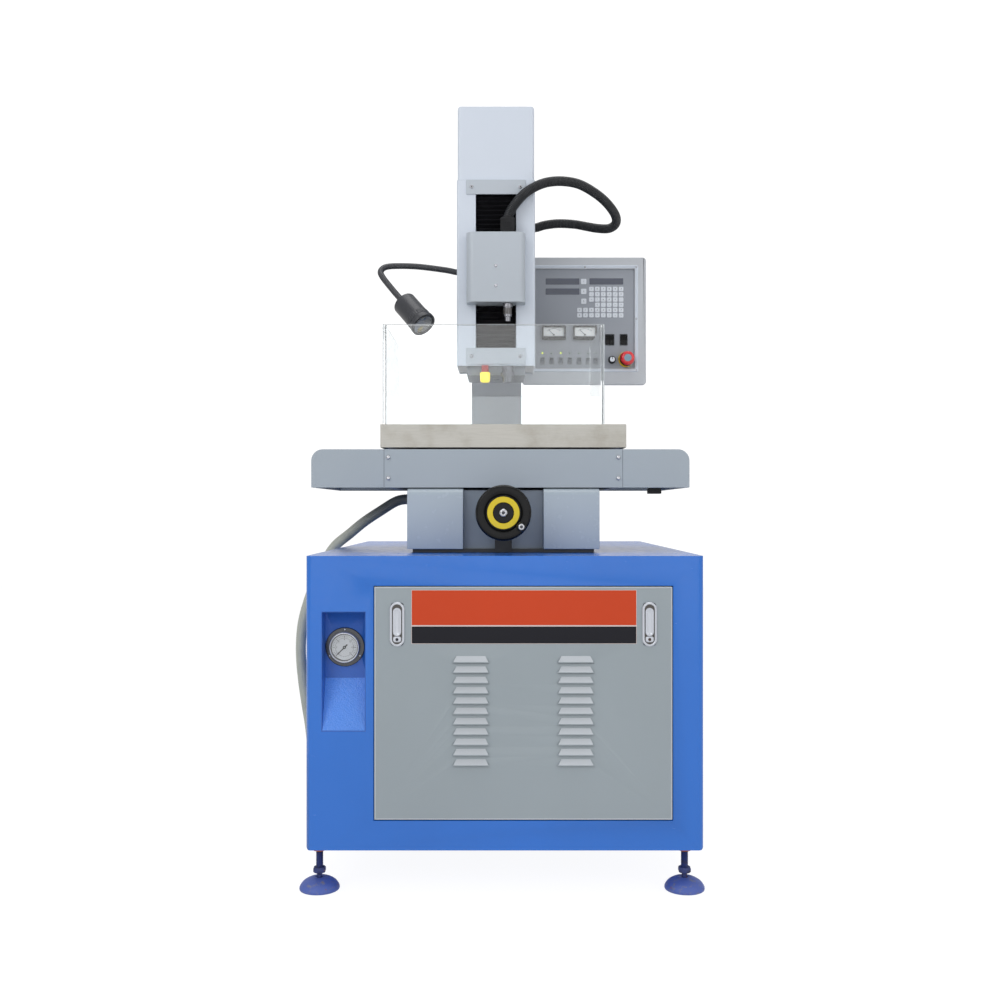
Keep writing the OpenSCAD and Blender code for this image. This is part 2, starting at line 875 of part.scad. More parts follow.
// Bed and Y drive
module bed() {
    color(dark_iron) {
        place(slide_x, bed_setback + bed_inset, top_z) block(bed_w - 2 * bed_inset,
            bed_d - 2 * bed_inset, bed_plinth);
        place(slide_x, bed_front_setback, bed_z) difference() {
            union() {
                translate([0, bed_front_t, 0])
                    block(2 * rib_x + rib_w, bed_setback + bed_d - bed_front_setback - bed_inset
                        - bed_front_t, web_h);
                for (x = [-rib_x, rib_x])
                    translate([x, bed_front_t, 0])
                        block(rib_w, bed_setback + bed_d - bed_front_setback - bed_inset - bed_front_t,
                            rib_h);
                block(bed_w - 2 * bed_cover_w - 2 * fit, bed_front_t, bed_front_run);
                translate([0, rear_bearing_at, 0]) block(rear_bearing_w, rear_bearing_t, rear_bearing_h);
            }
            translate([0, -overrun, y_screw_z - bed_z]) rod(y_screw_w + 2 * fit, rear_bearing_at);
            translate([0, -overrun, y_screw_z - bed_z])
                rod(y_journal_w + 2 * fit, rear_bearing_at + rear_bearing_t + 2 * overrun);
        }
    }
    color(bright_metal) for (x = [-rib_x, rib_x])
        place(slide_x + x, bed_front_setback + bed_front_t, rib_top_z)
            block(rail_w, bed_setback + bed_d - bed_front_setback - bed_inset - bed_front_t, rail_h);
}
rear_bearing_at = bed_setback + bed_d - bed_front_setback - bed_inset - rear_bearing_t;

module bed_covers() {
    color(head_grey) for (s = [-1, 1])
        place(slide_x + s * (bed_w - bed_cover_w) / 2, bed_setback, bed_z) difference() {
            face(bed_d) crowned_rect(bed_cover_w, bed_cover_h, bed_cover_r);
            translate([0, stage_sheet, -overrun]) face(bed_d - 2 * stage_sheet)
                crowned_rect(bed_cover_w - 2 * stage_sheet, bed_cover_h - stage_sheet + overrun,
                    bed_cover_r - stage_sheet);
        }
}

module screw_bracket() {
    sleeve_front = wheel_setback + wheel_t + run_gap;
    color(black) place(slide_x, 0, 0) difference() {
        union() {
            translate([0, bracket_setback, bed_z]) block(bracket_w, bracket_t, bracket_h);
            translate([0, bracket_setback, top_z]) block(bracket_w,
                bed_inset - fit - (bracket_setback - bed_setback),
                bed_plinth);
            translate([0, sleeve_front, y_screw_z]) rod(sleeve_w, bracket_setback - sleeve_front);
        }
        translate([0, sleeve_front - overrun, y_screw_z])
            rod(y_journal_w + 2 * fit, bracket_setback + bracket_t - sleeve_front + 2 * overrun);
    }
}

module y_screw() {
    thread_front = bed_front_setback + fit;
    thread_back = bed_front_setback + rear_bearing_at - run_gap;
    journal_front = wheel_setback + wheel_edge;
    color(bright_metal) place(slide_x, 0, y_screw_z) {
        translate([0, journal_front, 0])
            rod(y_journal_w, bed_front_setback + rear_bearing_at + rear_bearing_t - journal_front);
        translate([0, thread_front, 0]) rod(y_screw_w, thread_back - thread_front);
    }
}

module handwheel() {
    recess = ring_t;
    color(black) place(slide_x, wheel_setback, y_screw_z) difference() {
        union() {
            rotate([-90, 0, 0]) rotate_extrude()
                polygon([[0, 0], [wheel_w / 2 - wheel_edge, 0], [wheel_w / 2, wheel_edge],
                    [wheel_w / 2, wheel_t - wheel_edge],
                    [wheel_w / 2 - wheel_edge, wheel_t], [0, wheel_t]]);
        }
        difference() {
            translate([0, -overrun, 0]) rod(wheel_groove_w, recess + overrun);
            translate([0, -2 * overrun, 0]) rod(ring_bore_w, recess + 3 * overrun);
        }
        translate([0, wheel_edge, 0]) rod(y_journal_w, wheel_t);
        rotate([0, -crank_turn, 0]) translate([crank_r, -overrun, 0]) rod(crank_pin_w,
            wheel_t - wheel_edge + overrun);
    }
    color(signal_yellow) place(slide_x, wheel_setback, y_screw_z) difference() {
        rod(ring_w, ring_t);
        translate([0, -overrun, 0]) rod(ring_bore_w, ring_t + 2 * overrun);
    }
    color(bright_metal) place(slide_x, wheel_setback - wheel_nut_t, y_screw_z) rod(wheel_nut_w,
        wheel_nut_t);
}

// The crank's pin is a running fit in the wheel, and the grip turns with it
module crank_knob() {
    color(black) place(slide_x, wheel_setback, y_screw_z) rotate([0, -crank_turn,
        0]) translate([crank_r, 0, 0]) {
        rod(crank_pin_w - 2 * fit, wheel_t - wheel_edge - fit);
        translate([0, -crank_l, 0]) rotate([-90, 0, 0]) rotate_extrude()
            polygon([[0, 0], [crank_w / 2 - wheel_edge, 0], [crank_w / 2, wheel_edge], [crank_w / 2,
                crank_l / 2],
                [crank_w / 2 - wheel_edge / 2, crank_l - fit], [0, crank_l - fit]]);
        translate([0, -crank_l - crank_head_t, 0]) rod(crank_head_w, crank_head_t);
    }
}

// Saddle: the X stage's casting, with its rails, end posts and Y bearing blocks
module saddle() {
    casting_d = stage_d - 2 * end_plate_t;
    casting_h = deck_z - stage_z;
    color(stage_grey) place(slide_x, stage_setback + end_plate_t, stage_z) difference() {
        union() {
            block(plate_w, casting_d, casting_h);
            for (s = [-1, 1])
                translate([s * (plate_w - post_t) / 2, (casting_d - post_w) / 2,
                    casting_h]) block(post_t, post_w, post_h);
        }
        for (s = [-1, 1])
            translate([s * (plate_w / 4 + rib_x / 2 + block_w / 4), casting_rim, -overrun])
                block(plate_w / 2 - rib_x - block_w / 2 - 2 * casting_rim, casting_d - 2 * casting_rim,
                    casting_recess + overrun);
        translate([-plate_w / 2 - overrun, casting_d / 2, x_screw_z - stage_z])
            rotate([0, 90, 0]) cylinder(d = x_screw_w + 2 * fit, h = plate_w + 2 * overrun);
    }
    color(dark_iron) place(slide_x, 0, 0) {
        for (x = [-rib_x, rib_x], end = [0, 1])
            translate([x, stage_setback + y_block_inset + end * (stage_d - 2 * y_block_inset - block_l), 0])
                difference() {
                    translate([0, 0, rib_top_z + run_gap]) block(block_w, block_l,
                        stage_z - rib_top_z - run_gap);
                    translate([0, -overrun, rib_top_z - overrun])
                        block(rail_w + 2 * fit, block_l + 2 * overrun, rail_h + fit + overrun);
                }
        translate([0, stage_setback + (stage_d - nut_l) / 2, 0]) difference() {
            translate([0, 0, y_screw_z - nut_l / 2]) block(nut_w, nut_l, stage_z - y_screw_z + nut_l / 2);
            translate([0, -overrun, y_screw_z]) rod(y_screw_w + 2 * fit, nut_l + 2 * overrun);
        }
    }
    color(bright_metal) for (d = [x_rail_inset, stage_d - x_rail_inset])
        place(slide_x, stage_setback + d - rail_w / 2, deck_z) block(plate_w, rail_w, x_rail_h);
}

module cover_outline(l, h, r) {
    square([l - r, h]);
    square([l, h - r]);
    translate([l - r, h - r]) circle(r = r);
}

module end_cover(l, hole) {
    difference() {
        face(stage_d) cover_outline(l, stage_h, cover_r);
        translate([-overrun, stage_sheet, -overrun]) face(stage_d - 2 * stage_sheet)
            cover_outline(l - stage_sheet + overrun, stage_h - stage_sheet + overrun,
                cover_r - stage_sheet);
        if (hole)
            translate([l - cover_r, stage_d / 2, x_screw_z - stage_z])
                rotate([0, 90, 0]) cylinder(d = x_screw_w + 2 * run_gap, h = cover_r + overrun);
    }
}

module stage_covers() {
    color(stage_grey) {
        place(slide_x + plate_w / 2, stage_setback, stage_z) end_cover(cover_right_l, true);
        place(slide_x - plate_w / 2, stage_setback, stage_z) mirror([1, 0, 0]) end_cover(cover_left_l,
            false);
        for (d = [0, stage_d - end_plate_t])
            place(slide_x, stage_setback + d, stage_z) block(plate_w, end_plate_t, stage_h);
        place(0, stage_setback + stop_block_setback, stage_z - stop_block_h) translate([stop_block_x,
            0, 0]) face(stop_block_d)
            polygon([[-stop_block_w / 2 + stop_block_taper, 0], [stop_block_w / 2 - stop_block_taper, 0],
                [stop_block_w / 2, stop_block_h], [-stop_block_w / 2, stop_block_h]]);
        place(0, stage_setback + stop_block_setback, stage_z) translate([stop_block_x, 0, 0])
            block(stop_block_w, stop_block_d, stage_sheet);
        place(0, stage_setback + stage_sheet, stage_z) translate([stop_block_x, 0, 0])
            block(stop_block_w, stop_block_setback - stage_sheet, stage_sheet);
    }
    color(bright_metal) for (s = [-1, 1], i = [0, 1])
        place(slide_x + s * (plate_w / 2 - plate_screw_inset), stage_setback - plate_screw_t,
            stage_top_z - plate_screw_drop - i * plate_screw_pitch) rod(plate_screw_w, plate_screw_t);
}

// Worktable: slab, X bearing blocks and the X nut under it, a gutter inside the guard and a drain
module worktable() {
    slab_y = table_setback;
    color(ground_steel) difference() {
        place(slide_x, slab_y, table_z) block(table_w, table_d, table_t);
        for (x = [-tapped_pitch_x / 2, tapped_pitch_x / 2], y = [-tapped_pitch_y / 2, tapped_pitch_y / 2])
            place(slide_x + x, slab_y + table_d / 2 + y, table_top_z - tapped_depth)
                cylinder(d = tapped_w, h = tapped_depth + overrun);
        place(guard_x, guard_setback + guard_t + gutter_inset, table_top_z - gutter_t) difference() {
            block(gutter_l, gutter_span, gutter_t + overrun);
            translate([0, gutter_w, -overrun])
                block(gutter_l - 2 * gutter_w, gutter_span - 2 * gutter_w, gutter_t + 3 * overrun);
        }
        place(guard_x - gutter_l / 2 + drain_w,
            guard_setback + guard_t + gutter_inset + gutter_span - drain_w, table_z - overrun)
            cylinder(d = drain_w, h = table_t + 2 * overrun);
    }
    color(dark_iron) {
        for (d = [x_rail_inset, stage_d - x_rail_inset], s = [-1, 1])
            place(slide_x + s * x_block_x, stage_setback + d - block_w / 2, deck_z + run_gap) difference() {
                block(block_l, block_w, table_z - deck_z - run_gap);
                translate([0, (block_w - rail_w) / 2 - fit, -overrun])
                    block(block_l + 2 * overrun, rail_w + 2 * fit, x_rail_h - run_gap + fit + overrun);
            }
        place(slide_x - nut_w / 2, stage_setback + stage_d / 2, 0) difference() {
            translate([0, -nut_l / 2, deck_z + run_gap]) cube([nut_w, nut_l, table_z - deck_z - run_gap]);
            translate([-overrun, 0, x_screw_z])
                rotate([0, 90, 0]) cylinder(d = x_screw_w + 2 * fit, h = nut_w + 2 * overrun);
        }
    }
}
gutter_l = guard_w - 2 * guard_t - 2 * gutter_inset;
gutter_span = guard_d - 2 * guard_t - 2 * gutter_inset;

module guard() {
    color(clear_sheet) place(guard_x, guard_setback, table_top_z) {
        for (s = [-1, 1])
            translate([s * (guard_w - guard_t) / 2, 0, 0]) block(guard_t, guard_d, guard_h);
        block(guard_w - 2 * guard_t, guard_t, guard_h);
        translate([0, guard_d - guard_t, 0]) block(guard_w - 2 * guard_t, guard_t, guard_back_h);
    }
}

// The X screw ends as a plain shank just inside the right end cover's face, for a removable crank
module x_screw() {
    color(bright_metal) place(slide_x - plate_w / 2, stage_setback + stage_d / 2, x_screw_z)
        rotate([0, 90, 0]) cylinder(d = x_screw_w, h = plate_w + cover_right_l - run_gap);
}

// Column, overarm and head
head_top_z = head_z + head_h;
arm_z = head_z + arm_low;
arm_top_z = head_top_z - arm_high;
arm_setback = head_setback + head_back_setback + head_back_t;

module column() {
    column_h = arm_top_z - top_z;
    color(stage_grey) place(head_x, column_setback, top_z) difference() {
        union() {
            block(column_w, column_d, column_h);
            translate([0, (column_d - column_foot_d) / 2, 0]) block(column_foot_w, column_foot_d,
                column_foot_t);
        }
        translate([0, column_wall, -overrun])
            block(column_w - 2 * column_wall, column_d - 2 * column_wall, column_h - column_wall + overrun);
    }
}

module head_frame() {
    plate_d = head_back_setback + head_back_t - head_sheet;
    color(dark_iron) place(head_x, head_setback + head_sheet, 0) {
        difference() {
            union() {
                for (z = [head_z, head_top_z - head_plate_t])
                    translate([0, head_edge_r, z])
                        block(head_w - 2 * head_sheet, plate_d - head_edge_r, head_plate_t);
                translate([0, plate_d - head_back_t, head_z]) block(head_back_w, head_back_t, head_h);
            }
            translate([0, z_screw_setback, head_z - overrun])
                cylinder(d = z_screw_w + 2 * fit, h = head_h + 2 * overrun);
        }
    }
    color(stage_grey) place(head_x, arm_setback, arm_z) difference() {
        block(arm_w, column_setback - arm_setback, arm_top_z - arm_z);
        translate([0, -overrun, arm_wall])
            block(arm_w - 2 * arm_wall, column_setback - arm_setback + 2 * overrun,
                arm_top_z - arm_z - 2 * arm_wall);
    }
    color(bright_metal) for (x = [-z_rail_x, z_rail_x])
        place(head_x + x, arm_setback - head_back_t - z_rail_t, head_z + head_plate_t)
            block(z_rail_w, z_rail_t, head_h - 2 * head_plate_t);
    color(black) place(head_x + arm_w / 2, conduit_route[len(conduit_route) - 1][1],
        conduit_route[len(conduit_route) - 1][2])
        rotate([0, 90, 0]) cylinder(d = conduit_end_w,
            h = conduit_route[len(conduit_route) - 1][0] - head_x - arm_w / 2);
}

module head_cover() {
    color(head_grey) place(head_x, head_setback, head_z) difference() {
        translate([0, head_d / 2, 0]) linear_extrude(head_h) rounded_rect(head_w, head_d, head_edge_r);
        translate([0, head_d / 2, -overrun]) linear_extrude(head_h + 2 * overrun)
            rounded_rect(head_w - 2 * head_sheet, head_d - 2 * head_sheet, head_edge_r - head_sheet);
        translate([0, -overrun, slot_low]) block(slot_w, head_sheet + 2 * overrun,
            head_h - slot_low - slot_high);
        translate([0, head_d - head_sheet - overrun, arm_low - arm_fit])
            block(arm_w + 2 * arm_fit, head_sheet + 2 * overrun, arm_top_z - arm_z + 2 * arm_fit);
    }
    color(stage_grey) {
        place(head_x, head_setback - cross_t, head_top_z - slot_high) block(cross_w, cross_t, slot_high);
        place(head_x, head_setback - cross_t, head_z + slot_low - cross_low_h) block(cross_w, cross_t,
            cross_low_h);
    }
    color(bright_metal) for (x = [-cross_screw_x, cross_screw_x],
        z = [head_top_z - slot_high / 2, head_z + slot_low - cross_low_h / 2])
        place(head_x + x, head_setback - cross_t - cross_screw_t, z) rod(cross_screw_w, cross_screw_t);
}

module top_cover() {
    color(head_grey) place(head_x, head_setback + (head_d - top_cover_d) / 2, head_top_z) difference() {
        intersection() {
            translate([0, top_cover_d / 2, 0]) linear_extrude(top_cover_h) rounded_rect(top_cover_w,
                top_cover_d, top_cover_r);
            face(top_cover_d) crowned_rect(top_cover_w, top_cover_h, top_cover_r);
        }
        translate([0, head_sheet, -overrun])
            block(top_cover_w - 2 * head_sheet, top_cover_d - 2 * head_sheet,
                top_cover_h - head_sheet + overrun);
    }
}

module head_base() {
    color(dark_iron) place(head_x, head_setback + head_base_inset, head_z - head_base_h) difference() {
        block(head_base_w, head_base_d, head_base_h);
        translate([0, z_screw_setback + head_sheet - head_base_inset, -overrun])
            cylinder(d = z_screw_w + 2 * run_gap, h = head_base_h + 2 * overrun);
    }
}

module z_motor() {
    color(black) place(head_x, head_setback + head_sheet + z_screw_setback, head_top_z) difference() {
        union() {
            linear_extrude(head_plate_t) rounded_rect(motor_w, motor_w, motor_r);
            linear_extrude(motor_h) rounded_rect(motor_w - motor_r, motor_w - motor_r, motor_r);
        }
        translate([0, 0, -overrun]) cylinder(d = z_screw_w + 2 * fit, h = 2 * head_plate_t + overrun);
    }
}

module electrode_guide() {
    guide_z = head_z - guide_low;
    axis_d = head_setback - gland_setback;
    color(bright_metal) difference() {
        union() {
            place(gland_x, axis_d, guide_z) cylinder(d = guide_w, h = guide_h);
            place(gland_x, axis_d, guide_z) cylinder(d = guide_neck_w,
                h = guide_h + guide_neck_h + guide_cap_h);
            place(gland_x, axis_d, guide_z + guide_h + guide_neck_h) cylinder(d = guide_cap_w,
                h = guide_cap_h);
            place(gland_x, axis_d, guide_z - guide_tip_h) cylinder(d = guide_tip_w, h = guide_tip_h);
            place(gland_x, axis_d, head_z - head_base_h + (head_base_h - guide_arm_h) / 2)
                block(guide_arm_w, gland_setback + head_base_inset, guide_arm_h);
        }
        place(gland_x, axis_d, guide_z - guide_tip_h - overrun)
            cylinder(d = guide_bore_w, h = guide_tip_h + guide_h + guide_neck_h + guide_cap_h + 2
                * overrun);
    }
}

module indicator_light() {
    lens_d = head_setback + head_base_inset - light_lens_w / 2 - fit;
    color(signal_red) place(light_x, head_setback + head_base_inset - light_base_d, head_z - light_base_h)
        block(light_base_w, light_base_d, light_base_h);
    color(signal_yellow) place(light_x, lens_d, head_z - light_base_h - light_lens_h)
        cylinder(d = light_lens_w, h = light_lens_h);
}

// Carriage, its gland, and the rotating electrode spindle under it
carriage_z = head_z + carriage_low;

module carriage() {
    back_d = head_back_setback - z_rail_t - z_block_t + z_rail_t;
    color(head_grey) place(head_x, head_setback - carriage_out, carriage_z) difference() {
        union() {
            intersection() {
                block(carriage_w, carriage_out - run_gap, carriage_h);
                translate([0, carriage_out, 0]) linear_extrude(carriage_h)
                    rounded_rect(carriage_w, 2 * carriage_out, carriage_r);
            }
            translate([0, carriage_out - run_gap, 0]) block(neck_w, back_d + run_gap, carriage_h);
        }
        translate([gland_x - head_x, carriage_out - gland_setback, -overrun])
            cylinder(d = spindle_shaft_w + 2 * fit, h = spindle_bore_h + overrun);
        translate([0, carriage_out + z_screw_setback + head_sheet, -overrun])
            cylinder(d = z_screw_w + 2 * run_gap, h = carriage_h + 2 * overrun);
    }
    color(dark_iron) {
        for (x = [-z_rail_x, z_rail_x], end = [0, 1])
            place(head_x + x, head_setback + back_d,
                carriage_z + end * (carriage_h - z_block_l)) difference() {
                block(block_w, z_block_t - run_gap, z_block_l);
                translate([0, z_block_t - z_rail_t - fit, -overrun])
                    block(z_rail_w + 2 * fit, z_rail_t + fit + overrun, z_block_l + 2 * overrun);
            }
    }
    color(dark_iron) place(gland_x, head_setback - gland_setback, carriage_z + carriage_h) difference() {
        translate([0, -gland_w / 2, 0]) block(gland_w, gland_w, gland_w);
        translate([0, 0, gland_floor - fit]) cylinder(d = conduit_w + 8 * fit, h = gland_w);
    }
}

module z_screw() {
    color(bright_metal) place(head_x, head_setback + head_sheet + z_screw_setback, head_z)
        cylinder(d = z_screw_w, h = head_h + 2 * head_plate_t - fit);
}

module spindle() {
    color(bright_metal) place(gland_x, head_setback - gland_setback, carriage_z - fit) difference() {
        union() {
            cylinder(d = spindle_shaft_w, h = spindle_bore_h);
            translate([0, 0, -chuck_collar_h]) cylinder(d = chuck_collar_w, h = chuck_collar_h);
            translate([0, 0, -chuck_collar_h - chuck_body_h]) cylinder(d = chuck_body_w, h = chuck_body_h);
            translate([0, 0, -chuck_collar_h - chuck_body_h - chuck_tip_h]) cylinder(d = chuck_tip_w,
                h = chuck_tip_h);
        }
        translate([0, 0, -chuck_collar_h - chuck_body_h - chuck_tip_h - overrun])
            cylinder(d = chuck_bore_w, h = chuck_bore_h + overrun);
    }
}

// Pleated bellows above and below the carriage, in the head's slot
function pleat_side(n, x) = [for (i = [0 : 2 * n]) [x + (i % 2) * (pleat_t - pleat_wall),
    i * pleat_pitch / 2]];
module pleats(h) {
    n = max(1, floor(h / pleat_pitch));
    front = pleat_side(n, 0);
    back = [for (i = [2 * n : -1 : 0]) front[i] + [pleat_wall, 0]];
    rotate([90, 0, 90]) translate([0, 0, -(slot_w - 2 * run_gap) / 2]) linear_extrude(slot_w - 2 * run_gap)
        polygon([for (p = concat(front, back)) [p[0], p[1] * h / (n * pleat_pitch)]]);
}

module bellows() {
    low_z = head_z + slot_low;
    high_z = head_top_z - slot_high;
    color(black) {
        place(head_x, head_setback, low_z) pleats(carriage_z - low_z - fit);
        place(head_x, head_setback, carriage_z + carriage_h + fit) pleats(high_z - carriage_z
            - carriage_h - fit);
    }
}

// Control box
box_z = head_z - box_low;
panel_x = box_x + panel_left;
panel_z = box_z + box_h - panel_top;

// Puts children on the panel, u to the right and v down from the window's corner, at the plate's front
module on_panel(at) {
    place(panel_x + at[0], box_setback + bezel_t, panel_z - at[1]) children();
}

module control_box() {
    color(head_grey) place(box_x, box_setback, box_z) difference() {
        union() {
            translate([box_w / 2, 0, box_h / 2]) {
                face(box_rim) rounded_rect(box_w, box_h, box_r);
                face(box_d) rounded_rect(box_w - 2 * box_inset, box_h - 2 * box_inset, box_r);
            }
            translate([-(box_x - head_x - column_w / 2), box_arm_setback, box_arm_z])
                cube([box_x - head_x - column_w / 2 + box_inset + box_wall, box_arm_d, box_arm_h]);
        }
        translate([box_w / 2, bezel_t, box_inset + box_wall])
            block(box_w - 2 * box_inset - 2 * box_wall, box_d - bezel_t - box_wall,
                box_h - 2 * box_inset - 2 * box_wall);
        translate([panel_left, -overrun, box_h - panel_top - panel_h])
            cube([panel_w, bezel_t + 2 * overrun, panel_h]);
    }
}

module rocker_cut(w, h) {
    translate([0, -frame_out - overrun, 0]) face(housing_depth + frame_out) square([w - 2 * lip,
        h - 2 * lip], center = true);
}

module rocker_housing(w, h) {
    difference() {
        union() {
            translate([0, -frame_out, 0]) face(housing_depth + frame_out) square([w, h], center = true);
        }
        rocker_cut(w, h);
    }
    translate([-w / 2 + lip / 2, rocker_pivot, 0]) rotate([0, 90, 0]) cylinder(d = rocker_pin_w,
        h = w - lip);
}

small_places = [for (i = [0 : small_count - 1]) [small_at[0] + i * small_pitch, small_at[1]]];

module faceplate() {
    color(door_grey) {
        difference() {
            place(panel_x + panel_w / 2, box_setback + bezel_t, panel_z - panel_h - panel_lap)
                block(panel_w + 2 * panel_lap, panel_t, panel_h + 2 * panel_lap);
            on_panel(double_at) translate([0, -overrun,
                0]) face(panel_t + 2 * overrun) square([double_w, power_h], center = true);
            on_panel(single_at) translate([0, -overrun,
                0]) face(panel_t + 2 * overrun) square([single_w, power_h], center = true);
            for (p = small_places)
                on_panel(p) translate([0, -overrun, 0]) face(panel_t + 2 * overrun) square([small_w,
                    small_h], center = true);
            on_panel(knob_at) translate([0, -overrun, 0]) rod(knob_stem_w + 2 * fit, panel_t + 2 * overrun);
            on_panel(stop_at) translate([0, -overrun, 0]) rod(stop_stem_w + 2 * fit, panel_t + 2 * overrun);
        }
    }
    color(black) {
        on_panel(double_at) rocker_housing(double_w, power_h);
        on_panel(single_at) rocker_housing(single_w, power_h);
        for (p = small_places)
            on_panel(p) rocker_housing(small_w, small_h);
    }
    color(dark_iron) for (p = display_at)
        on_panel(p) translate([display_w / 2, -display_t, -display_h]) block(display_w, display_t,
            display_h);
    color(signal_yellow) on_panel(stop_at) translate([0, -stop_collar_t, 0]) difference() {
        rod(stop_collar_w, stop_collar_t);
        translate([0, -overrun, 0]) rod(stop_stem_w + 2 * fit, stop_collar_t + 2 * overrun);
    }
}

module key(w, h) {
    translate([-w / 2, -key_t, -h / 2]) cube([w, key_t, h]);
}

module keypad_keys() {
    color(key_white) {
        for (r = [0 : len(key_rows) - 1], c = [key_rows[r][0] : key_rows[r][1]])
            on_panel(key_first + [c * key_pitch_x, r * key_pitch_y]) key(key_w, key_h);
        for (i = [0 : 2])
            on_panel(mode_key_at + [0, i * mode_key_pitch]) key(mode_key_w, mode_key_w);
    }
}

module meter_cases() {
    color(black) for (p = meter_at)
        on_panel(p) translate([meter_w / 2, -meter_t, -meter_h]) difference() {
            block(meter_w, meter_t, meter_h);
            translate([0, -overrun, meter_foot])
                block(meter_w - 2 * meter_rim, meter_t - meter_floor + overrun,
                    meter_h - meter_foot - meter_rim);
        }
    color(bright_metal) for (p = meter_at)
        on_panel(p) translate([meter_w / 2, -meter_floor - needle_t - 2 * needle_lift,
            -meter_h + meter_foot + meter_pivot_h])
            rod(meter_pin_w, needle_t + 2 * needle_lift);
}

module meter_needle(i) {
    color(black) on_panel(meter_at[i])
        translate([meter_w / 2, -meter_floor - needle_t - needle_lift,
            -meter_h + meter_foot + meter_pivot_h])
            rotate([0, -meter_rest, 0]) pointer(meter_needle_l, meter_hub_w / 2, meter_needle_w,
                meter_hub_w, meter_pin_w, needle_t);
}

// A rocker on its pin, tilted to its off side
module rocker(w, h) {
    half = h / 2 - rocker_margin;
    translate([0, rocker_pivot, 0]) rotate([rocker_turn, 0, 0]) translate([-w / 2, 0, 0]) difference() {
        rotate([90, 0, 90]) linear_extrude(w) polygon([[-rocker_pivot, 0],
            [-rocker_pivot - rocker_rise, half],
            [rocker_back, half - rocker_rise], [rocker_back, -half + rocker_rise],
                [-rocker_pivot - rocker_rise, -half]]);
        translate([-overrun, 0, 0]) rotate([0, 90, 0]) cylinder(d = rocker_pin_w + 2 * fit,
            h = w + 2 * overrun);
    }
}

double_rocker_w = (double_w - 2 * lip - 3 * rocker_gap) / 2;
module power_rocker(i) {
    if (i < 2)
        color(black) on_panel(double_at + [(i - 1 / 2) * (double_rocker_w + rocker_gap),
            0]) rocker(double_rocker_w, power_h);
    else
        color(black) on_panel(single_at) rocker(single_w - 2 * lip - 2 * rocker_gap, power_h);
}

module mode_rocker(i) {
    color(black) on_panel(small_places[i]) rocker(small_w - 2 * lip - 2 * rocker_gap, small_h);
}

module e_stop() {
    color(signal_red) on_panel(stop_at) translate([0, -stop_collar_t - stop_travel, 0]) {
        rod(stop_stem_w, stem_l + stop_collar_t);
        translate([0, -stop_head_t, 0]) rotate([-90, 0, 0]) rotate_extrude()
            polygon([[0, 0], [stop_w / 2 - stop_edge, 0], [stop_w / 2, stop_edge], [stop_w / 2,
                stop_head_t - stop_edge / 2],
                [stop_w / 2 - stop_edge, stop_head_t], [0, stop_head_t]]);
    }
}

module selector_knob() {
    color(black) on_panel(knob_at) translate([0, -knob_t - knob_lift, 0]) {
        rod(knob_w, knob_t);
        rod(knob_stem_w, knob_t + stem_l);
        translate([0, -knob_mark_t, 0]) block(knob_mark_w, knob_mark_t, knob_w / 2);
    }
}

// Work lamp on a stiff gooseneck
function at_route(p) = [p[0] + centre_x, p[1] + front_y, p[2]];
lamp_end = lamp_route[len(lamp_route) - 1];

module lamp_arm() {
    color(black) cord([for (p = lamp_route) at_route(p)], arm_tube_w, arm_sides);
}

module aimed(at, aim) {
    translate(at_route(at)) rotate([0, acos(unit(aim)[2]), atan2(aim[1], aim[0])]) children();
}

module lamp_head() {
    color(black) aimed(lamp_end, lamp_aim) rotate_extrude()
        polygon([[0, fit], [lamp_back_w / 2, fit], [lamp_mid_w / 2, lamp_neck_l], [lamp_mid_w / 2,
            lamp_l - lamp_ring_l], [lamp_front_w / 2, lamp_l - lamp_ring_l], [lamp_front_w / 2, lamp_l],
            [lamp_lens_w / 2, lamp_l], [lamp_lens_w / 2, lamp_l - lamp_lens_t], [0, lamp_l - lamp_lens_t]]);
    color(clear_sheet) aimed(lamp_end, lamp_aim) translate([0, 0, lamp_l - lamp_lens_t])
        cylinder(d = lamp_lens_w, h = lamp_lens_t / 2);
}

// Drain hose from the bed's left side to the cabinet's left wall, and its two fittings
hose_start = hose_route[0];
hose_end = hose_route[len(hose_route) - 1];
elbow_z = hose_end[2] - elbow_r;

module drain_hose() {
    color(hose_grey) cord([for (p = hose_route) at_route(p)], hose_w, hose_sides);
}

module hose_fittings() {
    nipple_x = slide_x - bed_w / 2;
    color(bright_metal) {
        place(hose_start[0], hose_start[1], hose_start[2])
            rotate([0, 90, 0]) cylinder(d = nipple_w, h = nipple_x - hose_start[0]);
        place(hose_end[0] + elbow_r, hose_end[1], hose_end[2]) rotate([90, 0, 0]) intersection() {
            rotate_extrude() translate([elbow_r, 0]) circle(d = hose_w);
            translate([-elbow_r - hose_w, -elbow_r - hose_w, -hose_w]) cube([elbow_r + hose_w,
                elbow_r + hose_w, 2 * hose_w]);
        }
        place(hose_end[0] + elbow_r, hose_end[1], elbow_z)
            rotate([0, 90, 0]) cylinder(d = hose_w, h = -cab_w / 2 - hose_end[0] - elbow_r);
        place(-cab_w / 2 - elbow_flange_t, hose_end[1], elbow_z)
            rotate([0, 90, 0]) cylinder(d = elbow_flange_w, h = elbow_flange_t);
    }
}

module conduit() {
    color(black) ribbed_hose([for (p = conduit_route) at_route(p)], conduit_w, conduit_valley_w,
        conduit_bore_w,
        conduit_sides, rib_half_pitch);
}

// Door with its louvres, and the two locks
lock_x = door_w / 2 - lock_inset;
lock_z = door_z + door_h - lock_drop;

